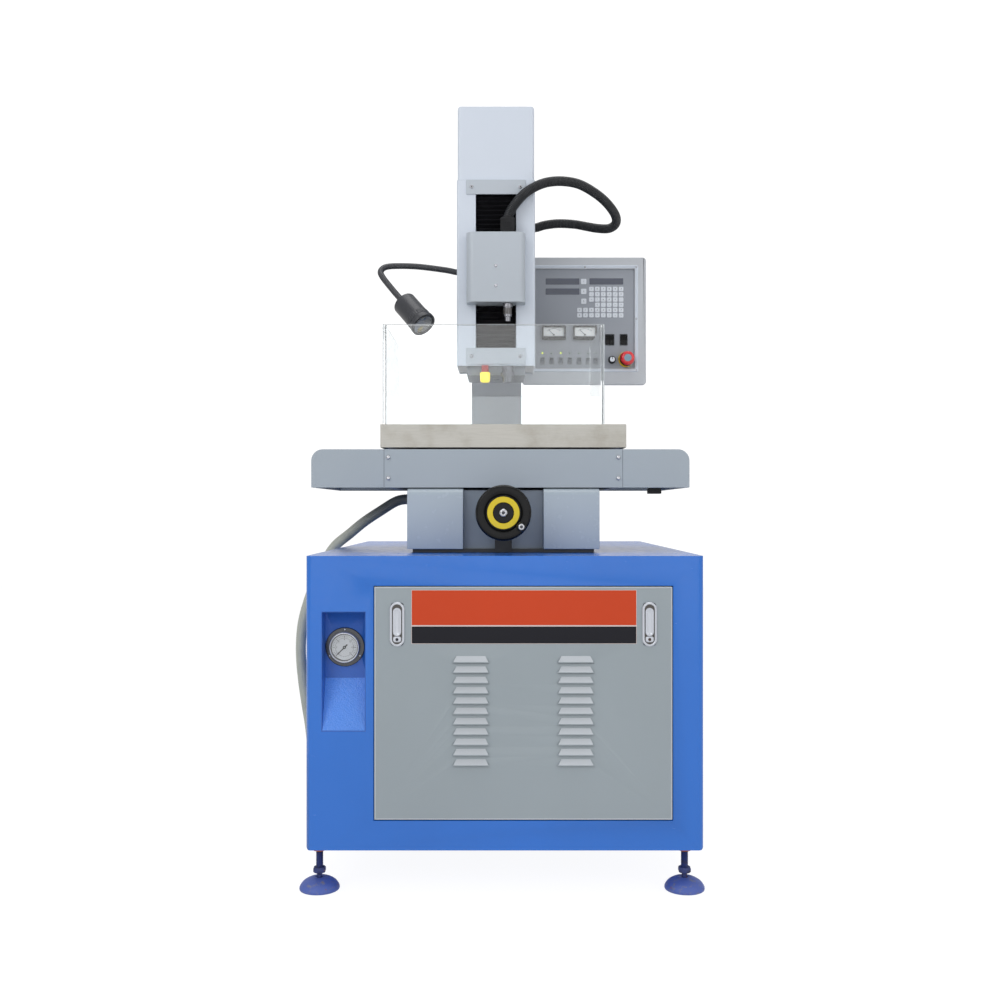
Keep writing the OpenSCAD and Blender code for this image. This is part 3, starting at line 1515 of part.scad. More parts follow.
module louvre_hood(grow) {
    w = louvre_w / 2 + grow;
    intersection() {
        translate([-w, 0, 0]) rotate([90, 0, 90]) linear_extrude(2 * w)
            polygon([[door_sheet, 0], [-louvre_out - grow, 0], [-louvre_out - grow, louvre_sheet], [0,
                louvre_h + grow],
                [door_sheet, louvre_h + grow]]);
        translate([0, -louvre_out - grow, 0]) face(louvre_out + grow + door_sheet)
            polygon([[-w, 0], [w, 0], [w - louvre_taper, louvre_h + grow], [-w + louvre_taper,
                louvre_h + grow]]);
    }
}

module at_louvres() {
    for (s = [-1, 1], i = [0 : louvre_count - 1])
        place(door_x + s * louvre_spread / 2, 0, door_z + louvre_low + i * louvre_pitch) children();
}

module door() {
    color(door_grey) difference() {
        union() {
            difference() {
                place(door_x, 0, door_z + door_h / 2) face(door_rim) rounded_rect(door_w, door_h,
                    door_fold_r);
                place(door_x, door_sheet, door_z + door_sheet)
                    block(door_w - 2 * door_sheet, door_rim, door_h - 2 * door_sheet);
            }
            at_louvres() louvre_hood(0);
        }
        at_louvres() translate([0, door_sheet + overrun, -overrun]) scale_hood();
        for (s = [-1, 1])
            place(door_x + s * lock_x, -overrun, lock_z) face(door_sheet + 2 * overrun)
                rounded_rect(lock_w - 2 * lock_floor, lock_h - 2 * lock_floor, lock_r - lock_floor);
    }
}

// The hood's own shape again, set back by the sheet, so that it leaves a thin hood open below
module scale_hood() {
    translate([0, louvre_sheet - door_sheet - overrun, 0]) intersection() {
        w = louvre_w / 2 - louvre_sheet;
        translate([-w, 0, 0]) rotate([90, 0, 90]) linear_extrude(2 * w)
            polygon([[door_sheet + overrun, 0], [-louvre_out, 0], [-louvre_out, overrun], [0,
                louvre_h - louvre_sheet + overrun],
                [door_sheet + overrun, louvre_h - louvre_sheet + overrun]]);
        translate([0, -louvre_out, 0]) face(louvre_out + door_sheet + overrun)
            polygon([[-w, 0], [w, 0], [w - louvre_taper, louvre_h - louvre_sheet + overrun],
                [-w + louvre_taper, louvre_h - louvre_sheet + overrun]]);
    }
}

lever_top_z = lock_z + lock_h / 2 - lever_top;
lever_low_z = lever_top_z - lever_l;
pin_depth = -lock_out + fit + lever_t / 2;

module latch_bodies() {
    floor_y = lever_t + lock_floor - lock_out;
    pocket_top = lever_top_z + lever_room;
    pocket_low = lever_low_z - fit - button_h;
    color(bright_metal) for (s = [-1, 1])
        place(door_x + s * lock_x, 0, 0) {
            difference() {
                translate([0, 0, lock_z]) union() {
                    translate([0, -lock_out, 0]) face(lock_out) rounded_rect(lock_w, lock_h, lock_r);
                    face(lock_back) rounded_rect(lock_w - 2 * lock_floor, lock_h - 2 * lock_floor,
                        lock_r - lock_floor);
                }
                translate([0, -lock_out - overrun, pocket_low])
                    block(lever_w + 2 * fit, floor_y + lock_out + overrun, pocket_top - pocket_low);
            }
            translate([0, -lock_out, pocket_low]) block(button_w, floor_y + lock_out, button_h);
            translate([-lever_w / 2 - fit, pin_depth, lever_top_z - lever_pin_drop])
                rotate([0, 90, 0]) cylinder(d = lever_pin_w, h = lever_w + 2 * fit);
        }
}

// The lever's upper end turns on the lock's pin, and its lower end swings out
module latch_lever(s) {
    color(bright_metal) place(door_x + s * lock_x, 0, 0) difference() {
        translate([0, -lock_out + fit, lever_low_z + lever_l / 2]) face(lever_t) rounded_rect(lever_w,
            lever_l, lever_r);
        translate([-lever_w / 2 - overrun, pin_depth, lever_top_z - lever_pin_drop])
            rotate([0, 90, 0]) cylinder(d = lever_pin_w + 2 * fit, h = lever_w + 2 * overrun);
    }
}

cabinet_shell();
gauge_recess();
foot_studs();
foot_pads();
water_tank();
pump_unit();
power_supply();
gauge_case();
gauge_glass();
bed();
bed_covers();
screw_bracket();
column();
head_frame();
head_cover();
top_cover();
head_base();
z_motor();
electrode_guide();
indicator_light();
control_box();
faceplate();
keypad_keys();
meter_cases();
lamp_arm();
lamp_head();
drain_hose();
hose_fittings();
conduit();
bellows();
door();
latch_bodies();
latch_lever(-1);  // latch_lever_left
latch_lever(1);  // latch_lever_right
handwheel();
y_screw();
crank_knob();
saddle();
stage_covers();
worktable();
guard();
x_screw();
carriage();
spindle();
z_screw();
e_stop();
selector_knob();
gauge_needle();
meter_needle(0);  // meter_needle_left
meter_needle(1);  // meter_needle_right
power_rocker(0);  // power_rocker_1
power_rocker(1);  // power_rocker_2
power_rocker(2);  // power_rocker_3
mode_rocker(0);  // mode_rocker_1
mode_rocker(1);  // mode_rocker_2
mode_rocker(2);  // mode_rocker_3
mode_rocker(3);  // mode_rocker_4
mode_rocker(4);  // mode_rocker_5
mode_rocker(5);  // mode_rocker_6
mode_rocker(6);  // mode_rocker_7
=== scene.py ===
"""Looks of a small-hole drilling machine: surfaces, finishes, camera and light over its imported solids.

Lengths are in millimetres: x from the cabinet's centre, depth behind the cabinet's front and height above
the floor. place() turns them into metres in the frame of the solids.
"""
import logging
import math
from collections.abc import Iterable, Sequence
from dataclasses import dataclass
from enum import Enum
from functools import reduce
from operator import add

import bmesh
import bpy
import numpy as np
from mathutils import Matrix


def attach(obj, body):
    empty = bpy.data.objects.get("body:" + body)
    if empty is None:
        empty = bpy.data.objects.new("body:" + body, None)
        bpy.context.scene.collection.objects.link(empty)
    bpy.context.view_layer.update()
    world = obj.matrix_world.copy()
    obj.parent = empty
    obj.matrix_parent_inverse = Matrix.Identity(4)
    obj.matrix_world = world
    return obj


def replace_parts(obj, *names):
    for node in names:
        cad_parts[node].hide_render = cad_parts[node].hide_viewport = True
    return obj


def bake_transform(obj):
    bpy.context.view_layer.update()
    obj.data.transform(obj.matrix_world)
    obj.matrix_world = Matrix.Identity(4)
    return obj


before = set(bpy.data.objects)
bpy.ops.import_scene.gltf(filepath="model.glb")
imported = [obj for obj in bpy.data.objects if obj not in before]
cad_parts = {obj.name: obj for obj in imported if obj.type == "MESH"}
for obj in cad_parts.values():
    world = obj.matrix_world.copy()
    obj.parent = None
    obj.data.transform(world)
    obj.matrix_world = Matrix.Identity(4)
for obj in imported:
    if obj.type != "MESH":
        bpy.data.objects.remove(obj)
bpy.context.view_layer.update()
log = logging.getLogger("machine")
MM = 0.001
# The cabinet's centre and front in the frame of the solids, in mm
CENTRE_X, FRONT_Y = 9.5, -547.0
FORWARD, UP = (0, -1, 0), (0, 0, 1)
# Angles in degrees: a sharper edge stays sharp, a sharper edge is bevelled, and a flatter one goes
CREASE, BEVEL_OVER, FLAT_UNDER = 32.0, 40.0, 0.6
# Distances in metres under which points join, in a new surface and in the copy of a solid
WELD, SOLID_WELD = 1e-7, 2e-6
KNURL_DEPTH, NUT_SIDES, SCREW_SIDES = 0.35, 48, 24
Array = np.ndarray
Pair = tuple[float, float]
Point = tuple[float, float, float]
Pairs = Array | list[Pair]
Rgb = tuple[int, int, int]
Rgba = tuple[float, float, float, float]
Thing, Tree, Socket = bpy.types.Object, bpy.types.NodeTree, bpy.types.NodeSocket


class Facing(Enum):
    """Which way a flat piece looks: its local right, up and outward directions in the frame."""

    FRONT = ((1, 0, 0), (0, 0, 1), (0, -1, 0))
    TOP = ((1, 0, 0), (0, 1, 0), (0, 0, 1))
    RIGHT = ((0, 1, 0), (0, 0, 1), (1, 0, 0))


# Shapes


def place(x: float, d: float, z: float) -> Array:
    """A point of the machine in metres.

    Args:
        x: distance right of the cabinet's centre, in mm.
        d: depth behind the cabinet's front, in mm.
        z: height above the floor, in mm.

    Returns:
        The point in the frame of the solids.
    """
    return np.array([x + CENTRE_X, d + FRONT_Y, z], float) * MM


def grid_faces(rows: int, cols: int, wrap_rows: bool = False, wrap_cols: bool = True) -> Array:
    """Quads between neighbouring rows and columns of a grid of points, numbered row by row.

    Args:
        rows: number of rows.
        cols: points in each row.
        wrap_rows: whether the last row joins the first.
        wrap_cols: whether the last point of a row joins its first.

    Returns:
        An array of quads, four indices each.
    """
    r = np.arange(rows if wrap_rows else rows - 1)
    c = np.arange(cols if wrap_cols else cols - 1)
    r, c = (a.ravel() for a in np.meshgrid(r, c, indexing="ij"))
    r1, c1 = (r + 1) % rows, (c + 1) % cols
    return np.stack([r * cols + c, r * cols + c1, r1 * cols + c1, r1 * cols + c], -1)


@dataclass
class Surface:
    """Points and faces of one piece before it becomes a mesh; surfaces add up into one piece."""

    points: Array
    faces: list[list[int]]

    def __add__(self, other: "Surface") -> "Surface":
        """Adds two surfaces.

        Args:
            other: the surface that follows.

        Returns:
            Both as one.
        """
        shift = len(self.points)
        moved = [[i + shift for i in face] for face in other.faces]
        return Surface(np.vstack([self.points, other.points]), self.faces + moved)


def joined(parts: Iterable[Surface]) -> Surface:
    """All the surfaces as one."""
    return reduce(add, parts)


def skin(rings: Array, closed: bool = False) -> Surface:
    """A surface over rings of points: flat caps close both ends, or the last ring joins the first.

    Args:
        rings: points as rows x columns x 3, in metres.
        closed: whether the last ring joins the first.

    Returns:
        The surface.
    """
    rows, cols, _ = rings.shape
    faces = grid_faces(rows, cols, closed).tolist()
    if not closed:
        faces += [list(range(cols))[::-1], list(range((rows - 1) * cols, rows * cols))]
    return Surface(rings.reshape(-1, 3), faces)


def added(name: str, data: bpy.types.ID) -> Thing:
    """Adds an object to the scene.

    Args:
        name: its name.
        data: its mesh, curve, light or camera.

    Returns:
        The object.
    """
    obj = bpy.data.objects.new(name, data)
    bpy.context.scene.collection.objects.link(obj)
    return obj


def shown(name: str, mesh: bpy.types.Mesh, body: str, finish: "Finish",
          crease: float) -> Thing:
    """Shades a mesh and makes it an object.

    Args:
        name: the object's name.
        mesh: its mesh.
        body: the body that carries it, or an empty name for none.
        finish: the finish it wears.
        crease: faces that meet at more than this many degrees keep a sharp edge between them.

    Returns:
        The object.
    """
    mesh.shade_smooth()
    mesh.set_sharp_from_angle(angle=math.radians(crease))
    mesh.materials.clear()
    mesh.materials.append(finish.material())
    obj = added(name, mesh)
    if body:
        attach(obj, body)
    log.info("%s: %d faces", name, len(mesh.polygons))
    return obj


def piece(name: str, surface: Surface, body: str, finish: "Finish",
          crease: float = CREASE) -> Thing:
    """Makes a surface an object with outward faces.

    Args:
        name: the object's name.
        surface: its points and faces.
        body: as in shown().
        finish: as in shown().
        crease: as in shown().

    Returns:
        The object.
    """
    mesh = bpy.data.meshes.new(name)
    mesh.from_pydata(surface.points.tolist(), [], surface.faces)
    bm = bmesh.new()
    bm.from_mesh(mesh)
    bmesh.ops.remove_doubles(bm, verts=bm.verts, dist=WELD)
    bmesh.ops.recalc_face_normals(bm, faces=bm.faces)
    bm.to_mesh(mesh)
    bm.free()
    return shown(name, mesh, body, finish, crease)


def outline(w: float, h: float, r: float | tuple[float, ...], inset: float, corner: int) -> Array:
    """Rounded rectangle round the origin: each corner is a quarter circle of radius r, (r cos a, r sin a).

    Args:
        w: width.
        h: height.
        r: corner radius, or four of them from the upper right one on.
        inset: how far the outline lies inside that rectangle.
        corner: steps in each corner.

    Returns:
        The outline's points, anticlockwise.
    """
    w, h = w - 2 * inset, h - 2 * inset
    r = np.clip(np.broadcast_to(r, 4) - inset, 1e-3, min(w, h) / 2 - 1e-3)[:, None]
    a = np.linspace(0, math.pi / 2, corner + 1) + np.arange(4)[:, None] * math.pi / 2
    x = (w / 2 - r) * np.array([1, -1, -1, 1])[:, None] + r * np.cos(a)
    y = (h / 2 - r) * np.array([1, 1, -1, -1])[:, None] + r * np.sin(a)
    return np.stack([x.ravel(), y.ravel()], -1)


def oriented(local: Array, centre: Array, facing: Facing) -> Array:
    """Local right, up and outward coordinates in mm as points of the frame."""
    return centre + local @ np.array(facing.value, float) * MM


def slab(centre: Array, size: Pair, r: float | tuple[float, ...], profile: Pairs,
         facing: Facing = Facing.FRONT, corner: int = 6, closed: bool = False) -> Surface:
    """A plate whose outline shrinks by an inset at each height of its profile.

    Args:
        centre: the outline's centre at height 0.
        size: width and height of the outline.
        r: its corner radius.
        profile: pairs of inset and height, from the back to the last cap.
        facing: the way that positive heights point.
        corner: steps in each corner.
        closed: whether the last outline joins the first, so that the middle stays open.

    Returns:
        The closed surface.
    """
    rings = [np.column_stack([outline(*size, r, inset, corner), np.full(4 * corner + 4, h)])
             for inset, h in profile]
    return skin(oriented(np.array(rings), centre, facing), closed)


def frame_ring(centre: Array, size: Pair, r: float, section: Pairs, corner: int) -> Surface:
    """A closed section of inset and height pairs, carried once round a rounded rectangle."""
    return slab(centre, size, r, section, corner=corner, closed=True)


def basis(axis: Point) -> Array:
    """Directions round an axis.

    Args:
        axis: the axis, of any length.

    Returns:
        Two unit vectors square to it, and its own, as rows.
    """
    n = np.array(axis, float) / np.linalg.norm(axis)
    u = np.cross(n, [0, 0, 1] if abs(n[2]) < 0.9 else [0, 1, 0])
    u /= np.linalg.norm(u)
    return np.array([u, np.cross(n, u), n])


def eased(profile: list[Pair], r: float, steps: int) -> Array:
    """Rounds the corners of a profile.

    A corner C becomes the parabola (1-t)^2 A + 2t(1-t) C + t^2 B. A and B lie on its two sides, r away from
    it, or half a side away where that is less.

    Args:
        profile: corner points.
        r: how far from the corner the rounding starts.
        steps: steps in each rounding.

    Returns:
        The rounded profile.
    """
    p = np.array(profile, float)
    before, after = p[:-2] - p[1:-1], p[2:] - p[1:-1]
    a = p[1:-1] + before * np.minimum(0.5, r / np.maximum(np.linalg.norm(before, axis=1), 1e-9))[:, None]
    b = p[1:-1] + after * np.minimum(0.5, r / np.maximum(np.linalg.norm(after, axis=1), 1e-9))[:, None]
    t = np.linspace(0, 1, steps + 1)[None, :, None]
    arcs = (1 - t) ** 2 * a[:, None] + 2 * t * (1 - t) * p[1:-1][:, None] + t ** 2 * b[:, None]
    return np.vstack([p[:1], arcs.reshape(-1, 2), p[-1:]])


def angles(sides: int) -> Array:
    """Even angles of one turn."""
    return np.linspace(0, 2 * math.pi, sides, endpoint=False)


def rounds(radii: Sequence[float | Array], heights: Sequence[float], sides: int) -> Array:
    """Rings of points (r cos a, r sin a, h) at even angles.

    Args:
        radii: for each ring its radius, or one radius for each of its points.
        heights: for each ring its height.
        sides: points in each ring.

    Returns:
        The points as rings x sides x 3.
    """
    a = angles(sides)
    r = np.array([np.broadcast_to(row, sides) for row in radii], float)
    h = np.broadcast_to(np.array(heights, float)[:, None], r.shape)
    return np.stack([r * np.cos(a), r * np.sin(a), h], -1)


def about(centre: Array, axis: Point, rings: Array, closed: bool = False) -> Surface:
    """A surface over rings in mm whose third coordinate runs along an axis through the centre."""
    return skin(centre + rings @ basis(axis) * MM, closed)


def lathe(centre: Array, axis: Point, profile: Pairs, sides: int, closed: bool = False) -> Surface:
    """A profile of radius and height turned round an axis.

    Args:
        centre: the point of the axis at height 0.
        axis: its direction.
        profile: pairs of radius and height in mm; flat faces close its ends.
        sides: steps round the axis.
        closed: whether the profile's last point joins its first, which leaves a bore.

    Returns:
        The closed surface.
    """
    p = np.array(profile, float)
    return about(centre, axis, rounds(p[:, 0], p[:, 1], sides), closed)


def turned_ring(centre: Array, axis: Point, section: Pairs, sides: int = 64) -> Surface:
    """A closed section of radius and height turned round an axis, so that the piece has a bore."""
    return lathe(centre, axis, section, sides, closed=True)


def six_sided(half: float, sides: int) -> Array:
    """Radii of a hexagon: half its width over the cosine of the angle from the nearest flat's middle."""
    return half / np.cos((angles(sides) + math.pi / 6) % (math.pi / 3) - math.pi / 6)


def knurled(r: float, teeth: int, sides: int) -> Array:
    """Radii of a knurled ring at even angles: r, more or less its depth by the sign of sin(teeth a)."""
    return r + KNURL_DEPTH * np.sign(np.sin(angles(sides) * teeth))


def hexagon(centre: Array, axis: Point, across: float, low: float, high: float, chamfer: float) -> Surface:
    """A hexagonal nut or plug, whose corners a cone takes off at both ends.

    Args:
        centre: a point of the axis.
        axis: its direction.
        across: width across flats.
        low: height of its lower end.
        high: height of its upper end.
        chamfer: length of the cone.

    Returns:
        The closed surface.
    """
    flat, cone = six_sided(across / 2, NUT_SIDES), across / 2 * 0.97
    end, wide = np.minimum(flat, cone), np.minimum(flat, cone + chamfer * 1.7)
    heights = [low, low + chamfer, high - chamfer, high]
    return about(centre, axis, rounds([end, wide, wide, end], heights, NUT_SIDES))


def screw_head(centre: Array, w: float, h: float) -> Surface:
    """A domed screw head that faces forward, whose last rings go down into a six-sided socket.

    Args:
        centre: the middle of its seat.
        w: width.
        h: height.

    Returns:
        The closed surface.
    """
    dome = eased([(w / 2, -0.2), (w / 2, h * 0.5), (w * 0.3, h), (w * 0.24, h)], w * 0.16, 3)
    socket = six_sided(w * 0.19, SCREW_SIDES)
    rings = rounds([*dome[:, 0], socket, socket], [*dome[:, 1], h, h * 0.2], SCREW_SIDES)
    return about(centre, FORWARD, rings)


def tick(centre: Array, angle: float, near: float, far: float, half: float, lift: float,
         stretch: float = 1.0) -> Surface:
    """A flat radial mark of a dial.

    Args:
        centre: the dial's centre.
        angle: the mark's angle, anticlockwise from the right.
        near: radius of its inner end.
        far: radius of its outer end.
        half: half its width.
        lift: its height over the dial.
        stretch: how many times wider than high the dial's arc is.

    Returns:
        The mark.
    """
    out = np.array([math.cos(angle) * stretch, math.sin(angle)])
    side = np.array([-math.sin(angle), math.cos(angle)]) * half
    flat = np.array([out * near - side, out * far - side, out * far + side, out * near + side])
    return Surface(oriented(np.column_stack([flat, np.full(4, lift)]), centre, Facing.FRONT), [[0, 1, 2, 3]])


def smooth_path(route: Sequence[Point], step: float) -> Array:
    """Cubic curve through the points of a route, cut into even steps.

    Between points A and B with slopes a and b it is (2s^3-3s^2+1)A + (s^3-2s^2+s)a + (3s^2-2s^3)B +
    (s^3-s^2)b, and a slope is half the chord between a point's neighbours.

    Args:
        route: points as cabinet x, depth and height, in mm.
        step: length of a step in mm.

    Returns:
        Points of the frame in metres.
    """
    p = np.array(route, float)
    slope = np.vstack([p[1] - p[0], (p[2:] - p[:-2]) / 2, p[-1] - p[-2]])
    parts = []
    for a, b, sa, sb in zip(p[:-1], p[1:], slope[:-1], slope[1:]):
        s = np.linspace(0, 1, max(2, int(math.ceil(np.linalg.norm(b - a) / step))), endpoint=False)[:, None]
        parts.append((2 * s ** 3 - 3 * s ** 2 + 1) * a + (s ** 3 - 2 * s ** 2 + s) * sa
                     + (3 * s ** 2 - 2 * s ** 3) * b + (s ** 3 - s ** 2) * sb)
    line = np.vstack([*parts, p[-1:]])
    gone = np.concatenate([[0], np.cumsum(np.linalg.norm(np.diff(line, axis=0), axis=1))])
    even = np.linspace(0, gone[-1], int(round(gone[-1] / step)) + 1)
    line = np.stack([np.interp(even, gone, line[:, i]) for i in range(3)], -1)
    return (line + [CENTRE_X, FRONT_Y, 0]) * MM


def tube(path: Array, radii: Array, sides: int) -> Surface:
    """A tube along a path, whose rings turn as little as they can.

    Args:
        path: points in metres.
        radii: a radius in mm for each point.
        sides: points in each ring.

    Returns:
        The closed surface.
    """
    ahead = np.gradient(path, axis=0)
    ahead /= np.linalg.norm(ahead, axis=1)[:, None]
    side = np.empty_like(ahead)
    last = np.cross(ahead[0], [0.13, 0.97, 0.21])
    for i, t in enumerate(ahead):
        last = last - (last @ t) * t
        last /= np.linalg.norm(last)
        side[i] = last
    up = np.cross(ahead, side)
    a = angles(sides)
    rings = path[:, None] + (radii * MM)[:, None, None] * (
        np.cos(a)[None, :, None] * side[:, None] + np.sin(a)[None, :, None] * up[:, None])
    return skin(rings)


def lettering(text: str, centre: Array, size: float) -> Surface:
    """Plain numerals as flat faces that look forward.

    Args:
        text: the numerals.
        centre: their middle.
        size: height in mm.

    Returns:
        The flat surface.
    """
    curve = bpy.data.curves.new("numeral", "FONT")
    curve.body, curve.size, curve.resolution_u = text, size * 1.3, 2
    curve.align_x, curve.align_y = "CENTER", "CENTER"
    obj = added("numeral", curve)
    mesh = bpy.data.meshes.new_from_object(obj.evaluated_get(bpy.context.evaluated_depsgraph_get()))
    flat = np.array([v.co for v in mesh.vertices], float).reshape(-1, 3)
    faces = [list(p.vertices) for p in mesh.polygons]
    bpy.data.objects.remove(obj)
    bpy.data.curves.remove(curve)
    bpy.data.meshes.remove(mesh)
    return Surface(oriented(flat, centre, Facing.FRONT), faces)


def softened(node: str, width: float, body: str, finish: "Finish", segments: int = 2) -> None:
    """A welded copy of a solid with its edges rounded by a bevel, which stands for the solid.

    Args:
        node: the solid.
        width: the bevel's width in mm, or 0 for none.
        body: the body that it rides on.
        finish: its finish.
        segments: steps in the bevel.
    """
    name = f"{node}_dressed"
    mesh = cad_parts[node].data.copy()
    mesh.name = name
    bm = bmesh.new()
    bm.from_mesh(mesh)
    bmesh.ops.remove_doubles(bm, verts=bm.verts, dist=SOLID_WELD)
    bmesh.ops.dissolve_limit(bm, angle_limit=math.radians(FLAT_UNDER), verts=bm.verts, edges=bm.edges)
    bm.to_mesh(mesh)
    bm.free()
    obj = shown(name, mesh, body, finish, CREASE)
    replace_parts(obj, node)
    if width:
        bevel = obj.modifiers.new("edges", "BEVEL")
        bevel.width, bevel.segments, bevel.limit_method = width * MM, segments, "ANGLE"
        bevel.angle_limit = math.radians(BEVEL_OVER)
        bevel.use_clamp_overlap, bevel.harden_normals = False, True


# Finishes


def linear(colour: Rgb) -> Rgba:
    """Turns a colour of 0 to 255 into the linear light values that the shader takes.

    Args:
        colour: red, green and blue.

    Returns:
        Red, green, blue and an alpha of 1.
    """
    c = np.array(colour, float) / 255
    c = np.where(c <= 0.04045, c / 12.92, ((c + 0.055) / 1.055) ** 2.4)
    return (float(c[0]), float(c[1]), float(c[2]), 1.0)


def scaled(colour: Rgba, k: float) -> Rgba:
    """A linear colour made darker or lighter, held at full light."""
    return tuple(min(1.0, c * k) for c in colour[:3]) + (1.0,)


def feed(tree: Tree, socket: Socket, value: object) -> None:
    """Links a socket to an input, or sets the input to a value.

    Args:
        tree: the node tree of both.
        socket: the input.
        value: another node's output, or a number or colour.
    """
    if isinstance(value, Socket):
        tree.links.new(value, socket)
    else:
        socket.default_value = value


def arithmetic(tree: Tree, kind: str, *values: object) -> Socket:
    """One step of arithmetic.

    Args:
        tree: the node tree.
        kind: the operation.
        values: its sockets or numbers.

    Returns:
        The result.
    """
    node = tree.nodes.new("ShaderNodeMath")
    node.operation = kind
    for socket, value in zip(node.inputs, values):
        feed(tree, socket, value)
    return node.outputs[0]


class Graph:
    """Builds the nodes of one material around its Principled shader."""

    def __init__(self, name: str) -> None:
        """Starts a material.

        Args:
            name: the material's name.
        """
        self.material = bpy.data.materials.new(name)
        self.material.use_nodes = True
        self.tree = self.material.node_tree
        self.shader = self.tree.nodes["Principled BSDF"]
        self.output = self.tree.nodes["Material Output"]
        self.coords = self.tree.nodes.new("ShaderNodeTexCoord").outputs["Object"]

    def add(self, kind: str, inputs: dict[str | int, object], **settings: object) -> bpy.types.Node:
        """Adds a node.

        Args:
            kind: its type, without "ShaderNode".
            inputs: values or sockets for its inputs.
            settings: its own properties.

        Returns:
            The node.
        """
        node = self.tree.nodes.new("ShaderNode" + kind)
        for key, value in settings.items():
            setattr(node, key, value)
        for key, value in inputs.items():
            feed(self.tree, node.inputs[key], value)
        return node

    def put(self, name: str, value: object) -> None:
        """Links or sets an input of the shader."""
        feed(self.tree, self.shader.inputs[name], value)

    def noise(self, scale: float, detail: float, stretch: Point = (1, 1, 1),
              roughness: float = 0.5) -> Socket:
        """Noise on the object's coordinates.

        Args:
            scale: features per metre.
            detail: octaves of finer noise.
            stretch: how much faster it changes along each axis.
            roughness: how strong the finer noise is.

        Returns:
            The noise.
        """
        mapped = self.add("Mapping", {"Vector": self.coords, "Scale": stretch}).outputs["Vector"]
        return self.add("TexNoise", {"Vector": mapped, "Scale": scale, "Detail": detail,
                                     "Roughness": roughness}).outputs["Fac"]

    def ramp(self, value: Socket, low: float, high: float, to_low: float = 0.0,
             to_high: float = 1.0) -> Socket:
        """Stretches a value over another range, held at its ends.

        Args:
            value: the value.
            low: where its range starts.
            high: where its range ends.
            to_low: the result at low.
            to_high: the result at high.

        Returns:
            The result.
        """
        return self.add("MapRange", {"Value": value, "From Min": low, "From Max": high, "To Min": to_low,
                                     "To Max": to_high}).outputs["Result"]

    def mix(self, share: object, a: object, b: object) -> Socket:
        """Mixes two colours.

        Args:
            share: how much of the second, from 0 to 1.
            a: the first colour.
            b: the second colour.

        Returns:
            The mixed colour.
        """
        node = self.tree.nodes.new("ShaderNodeMix")
        node.data_type = "RGBA"
        for i, value in ((0, share), (6, a), (7, b)):
            feed(self.tree, node.inputs[i], value)
        return node.outputs[2]

    def math(self, kind: str, a: object, b: object) -> Socket:
        """One step of arithmetic."""
        return arithmetic(self.tree, kind, a, b)

    def bump(self, height: Socket, strength: float, distance: float) -> None:
        """Bumps the surface by a height."""
        bump = self.add("Bump", {"Height": height, "Strength": strength, "Distance": distance})
        self.put("Normal", bump.outputs["Normal"])

    def height(self) -> Socket:
        """The object's height coordinate."""
        return self.add("SeparateXYZ", {"Vector": self.coords}).outputs["Z"]


_made: dict[str, bpy.types.Material] = {}


@dataclass(frozen=True)
class Finish:
    """What every finish has: a name and a colour."""

    name: str
    colour: Rgb

    def build(self, g: Graph) -> None:
        """Fills the material's nodes, as each finish does in its own way.

        Args:
            g: the graph of the finish's material.
        """
        raise NotImplementedError

    def material(self) -> bpy.types.Material:
        """Makes the finish's material at its first call.

        Returns:
            The material.
        """
        if self.name not in _made:
            g = Graph(self.name)
            self.build(g)
            _made[self.name] = g.material
        return _made[self.name]


@dataclass(frozen=True)
class Enamel(Finish):
    """Sprayed paint: fine orange peel, faint clouding and a few paler scuffs."""

    roughness: float = 0.38
    peel: float = 900.0
    peel_depth: float = 0.00012
    clouding: float = 0.05
    scuffs: float = 0.12
    # Height in metres under which the colour becomes a painted shadow, and that shadow's colour; off when
    # negative.
    shade_below: float = -1.0
    dark: Rgb = (18, 19, 22)
    specular: float = 0.5

    def build(self, g: Graph) -> None:
        """Base colour from a cloud and a scuff mask; roughness follows the scuffs; orange peel as a bump.

        Args:
            g: the graph of the finish's material.
        """
        cloud = g.noise(3.5, 4, (1, 1, 0.6))
        fine = g.noise(60, 3)
        base = linear(self.colour)
        darker, lighter = scaled(base, 1 - self.clouding), scaled(base, 1 + self.clouding)
        colour = g.mix(g.ramp(cloud, 0.3, 0.7), darker, lighter)
        pale = tuple(c + (1 - c) * 0.35 for c in base[:3]) + (1.0,)
        scratched = g.ramp(g.noise(38, 6, (1, 1, 3), 0.7), 0.66, 0.78, 0, self.scuffs)
        scuff = g.math("MULTIPLY", scratched, g.ramp(fine, 0.4, 0.6))
        colour = g.mix(scuff, colour, pale)
        # Painted shade: below the given height the colour becomes the dark one, a painted shadow.
        if self.shade_below > 0:
            above = g.ramp(g.height(), self.shade_below - 0.0004, self.shade_below + 0.0004)
            colour = g.mix(above, linear(self.dark), colour)
        g.put("Base Color", colour)
        gloss = g.ramp(fine, 0.3, 0.7, self.roughness - 0.04, self.roughness + 0.05)
        g.put("Roughness", g.math("ADD", gloss, scuff))
        peel = g.math("ADD", g.noise(self.peel, 2), g.math("MULTIPLY", g.noise(self.peel / 4, 2), 0.6))
        g.bump(peel, 0.35, self.peel_depth)
        g.put("Specular IOR Level", self.specular)


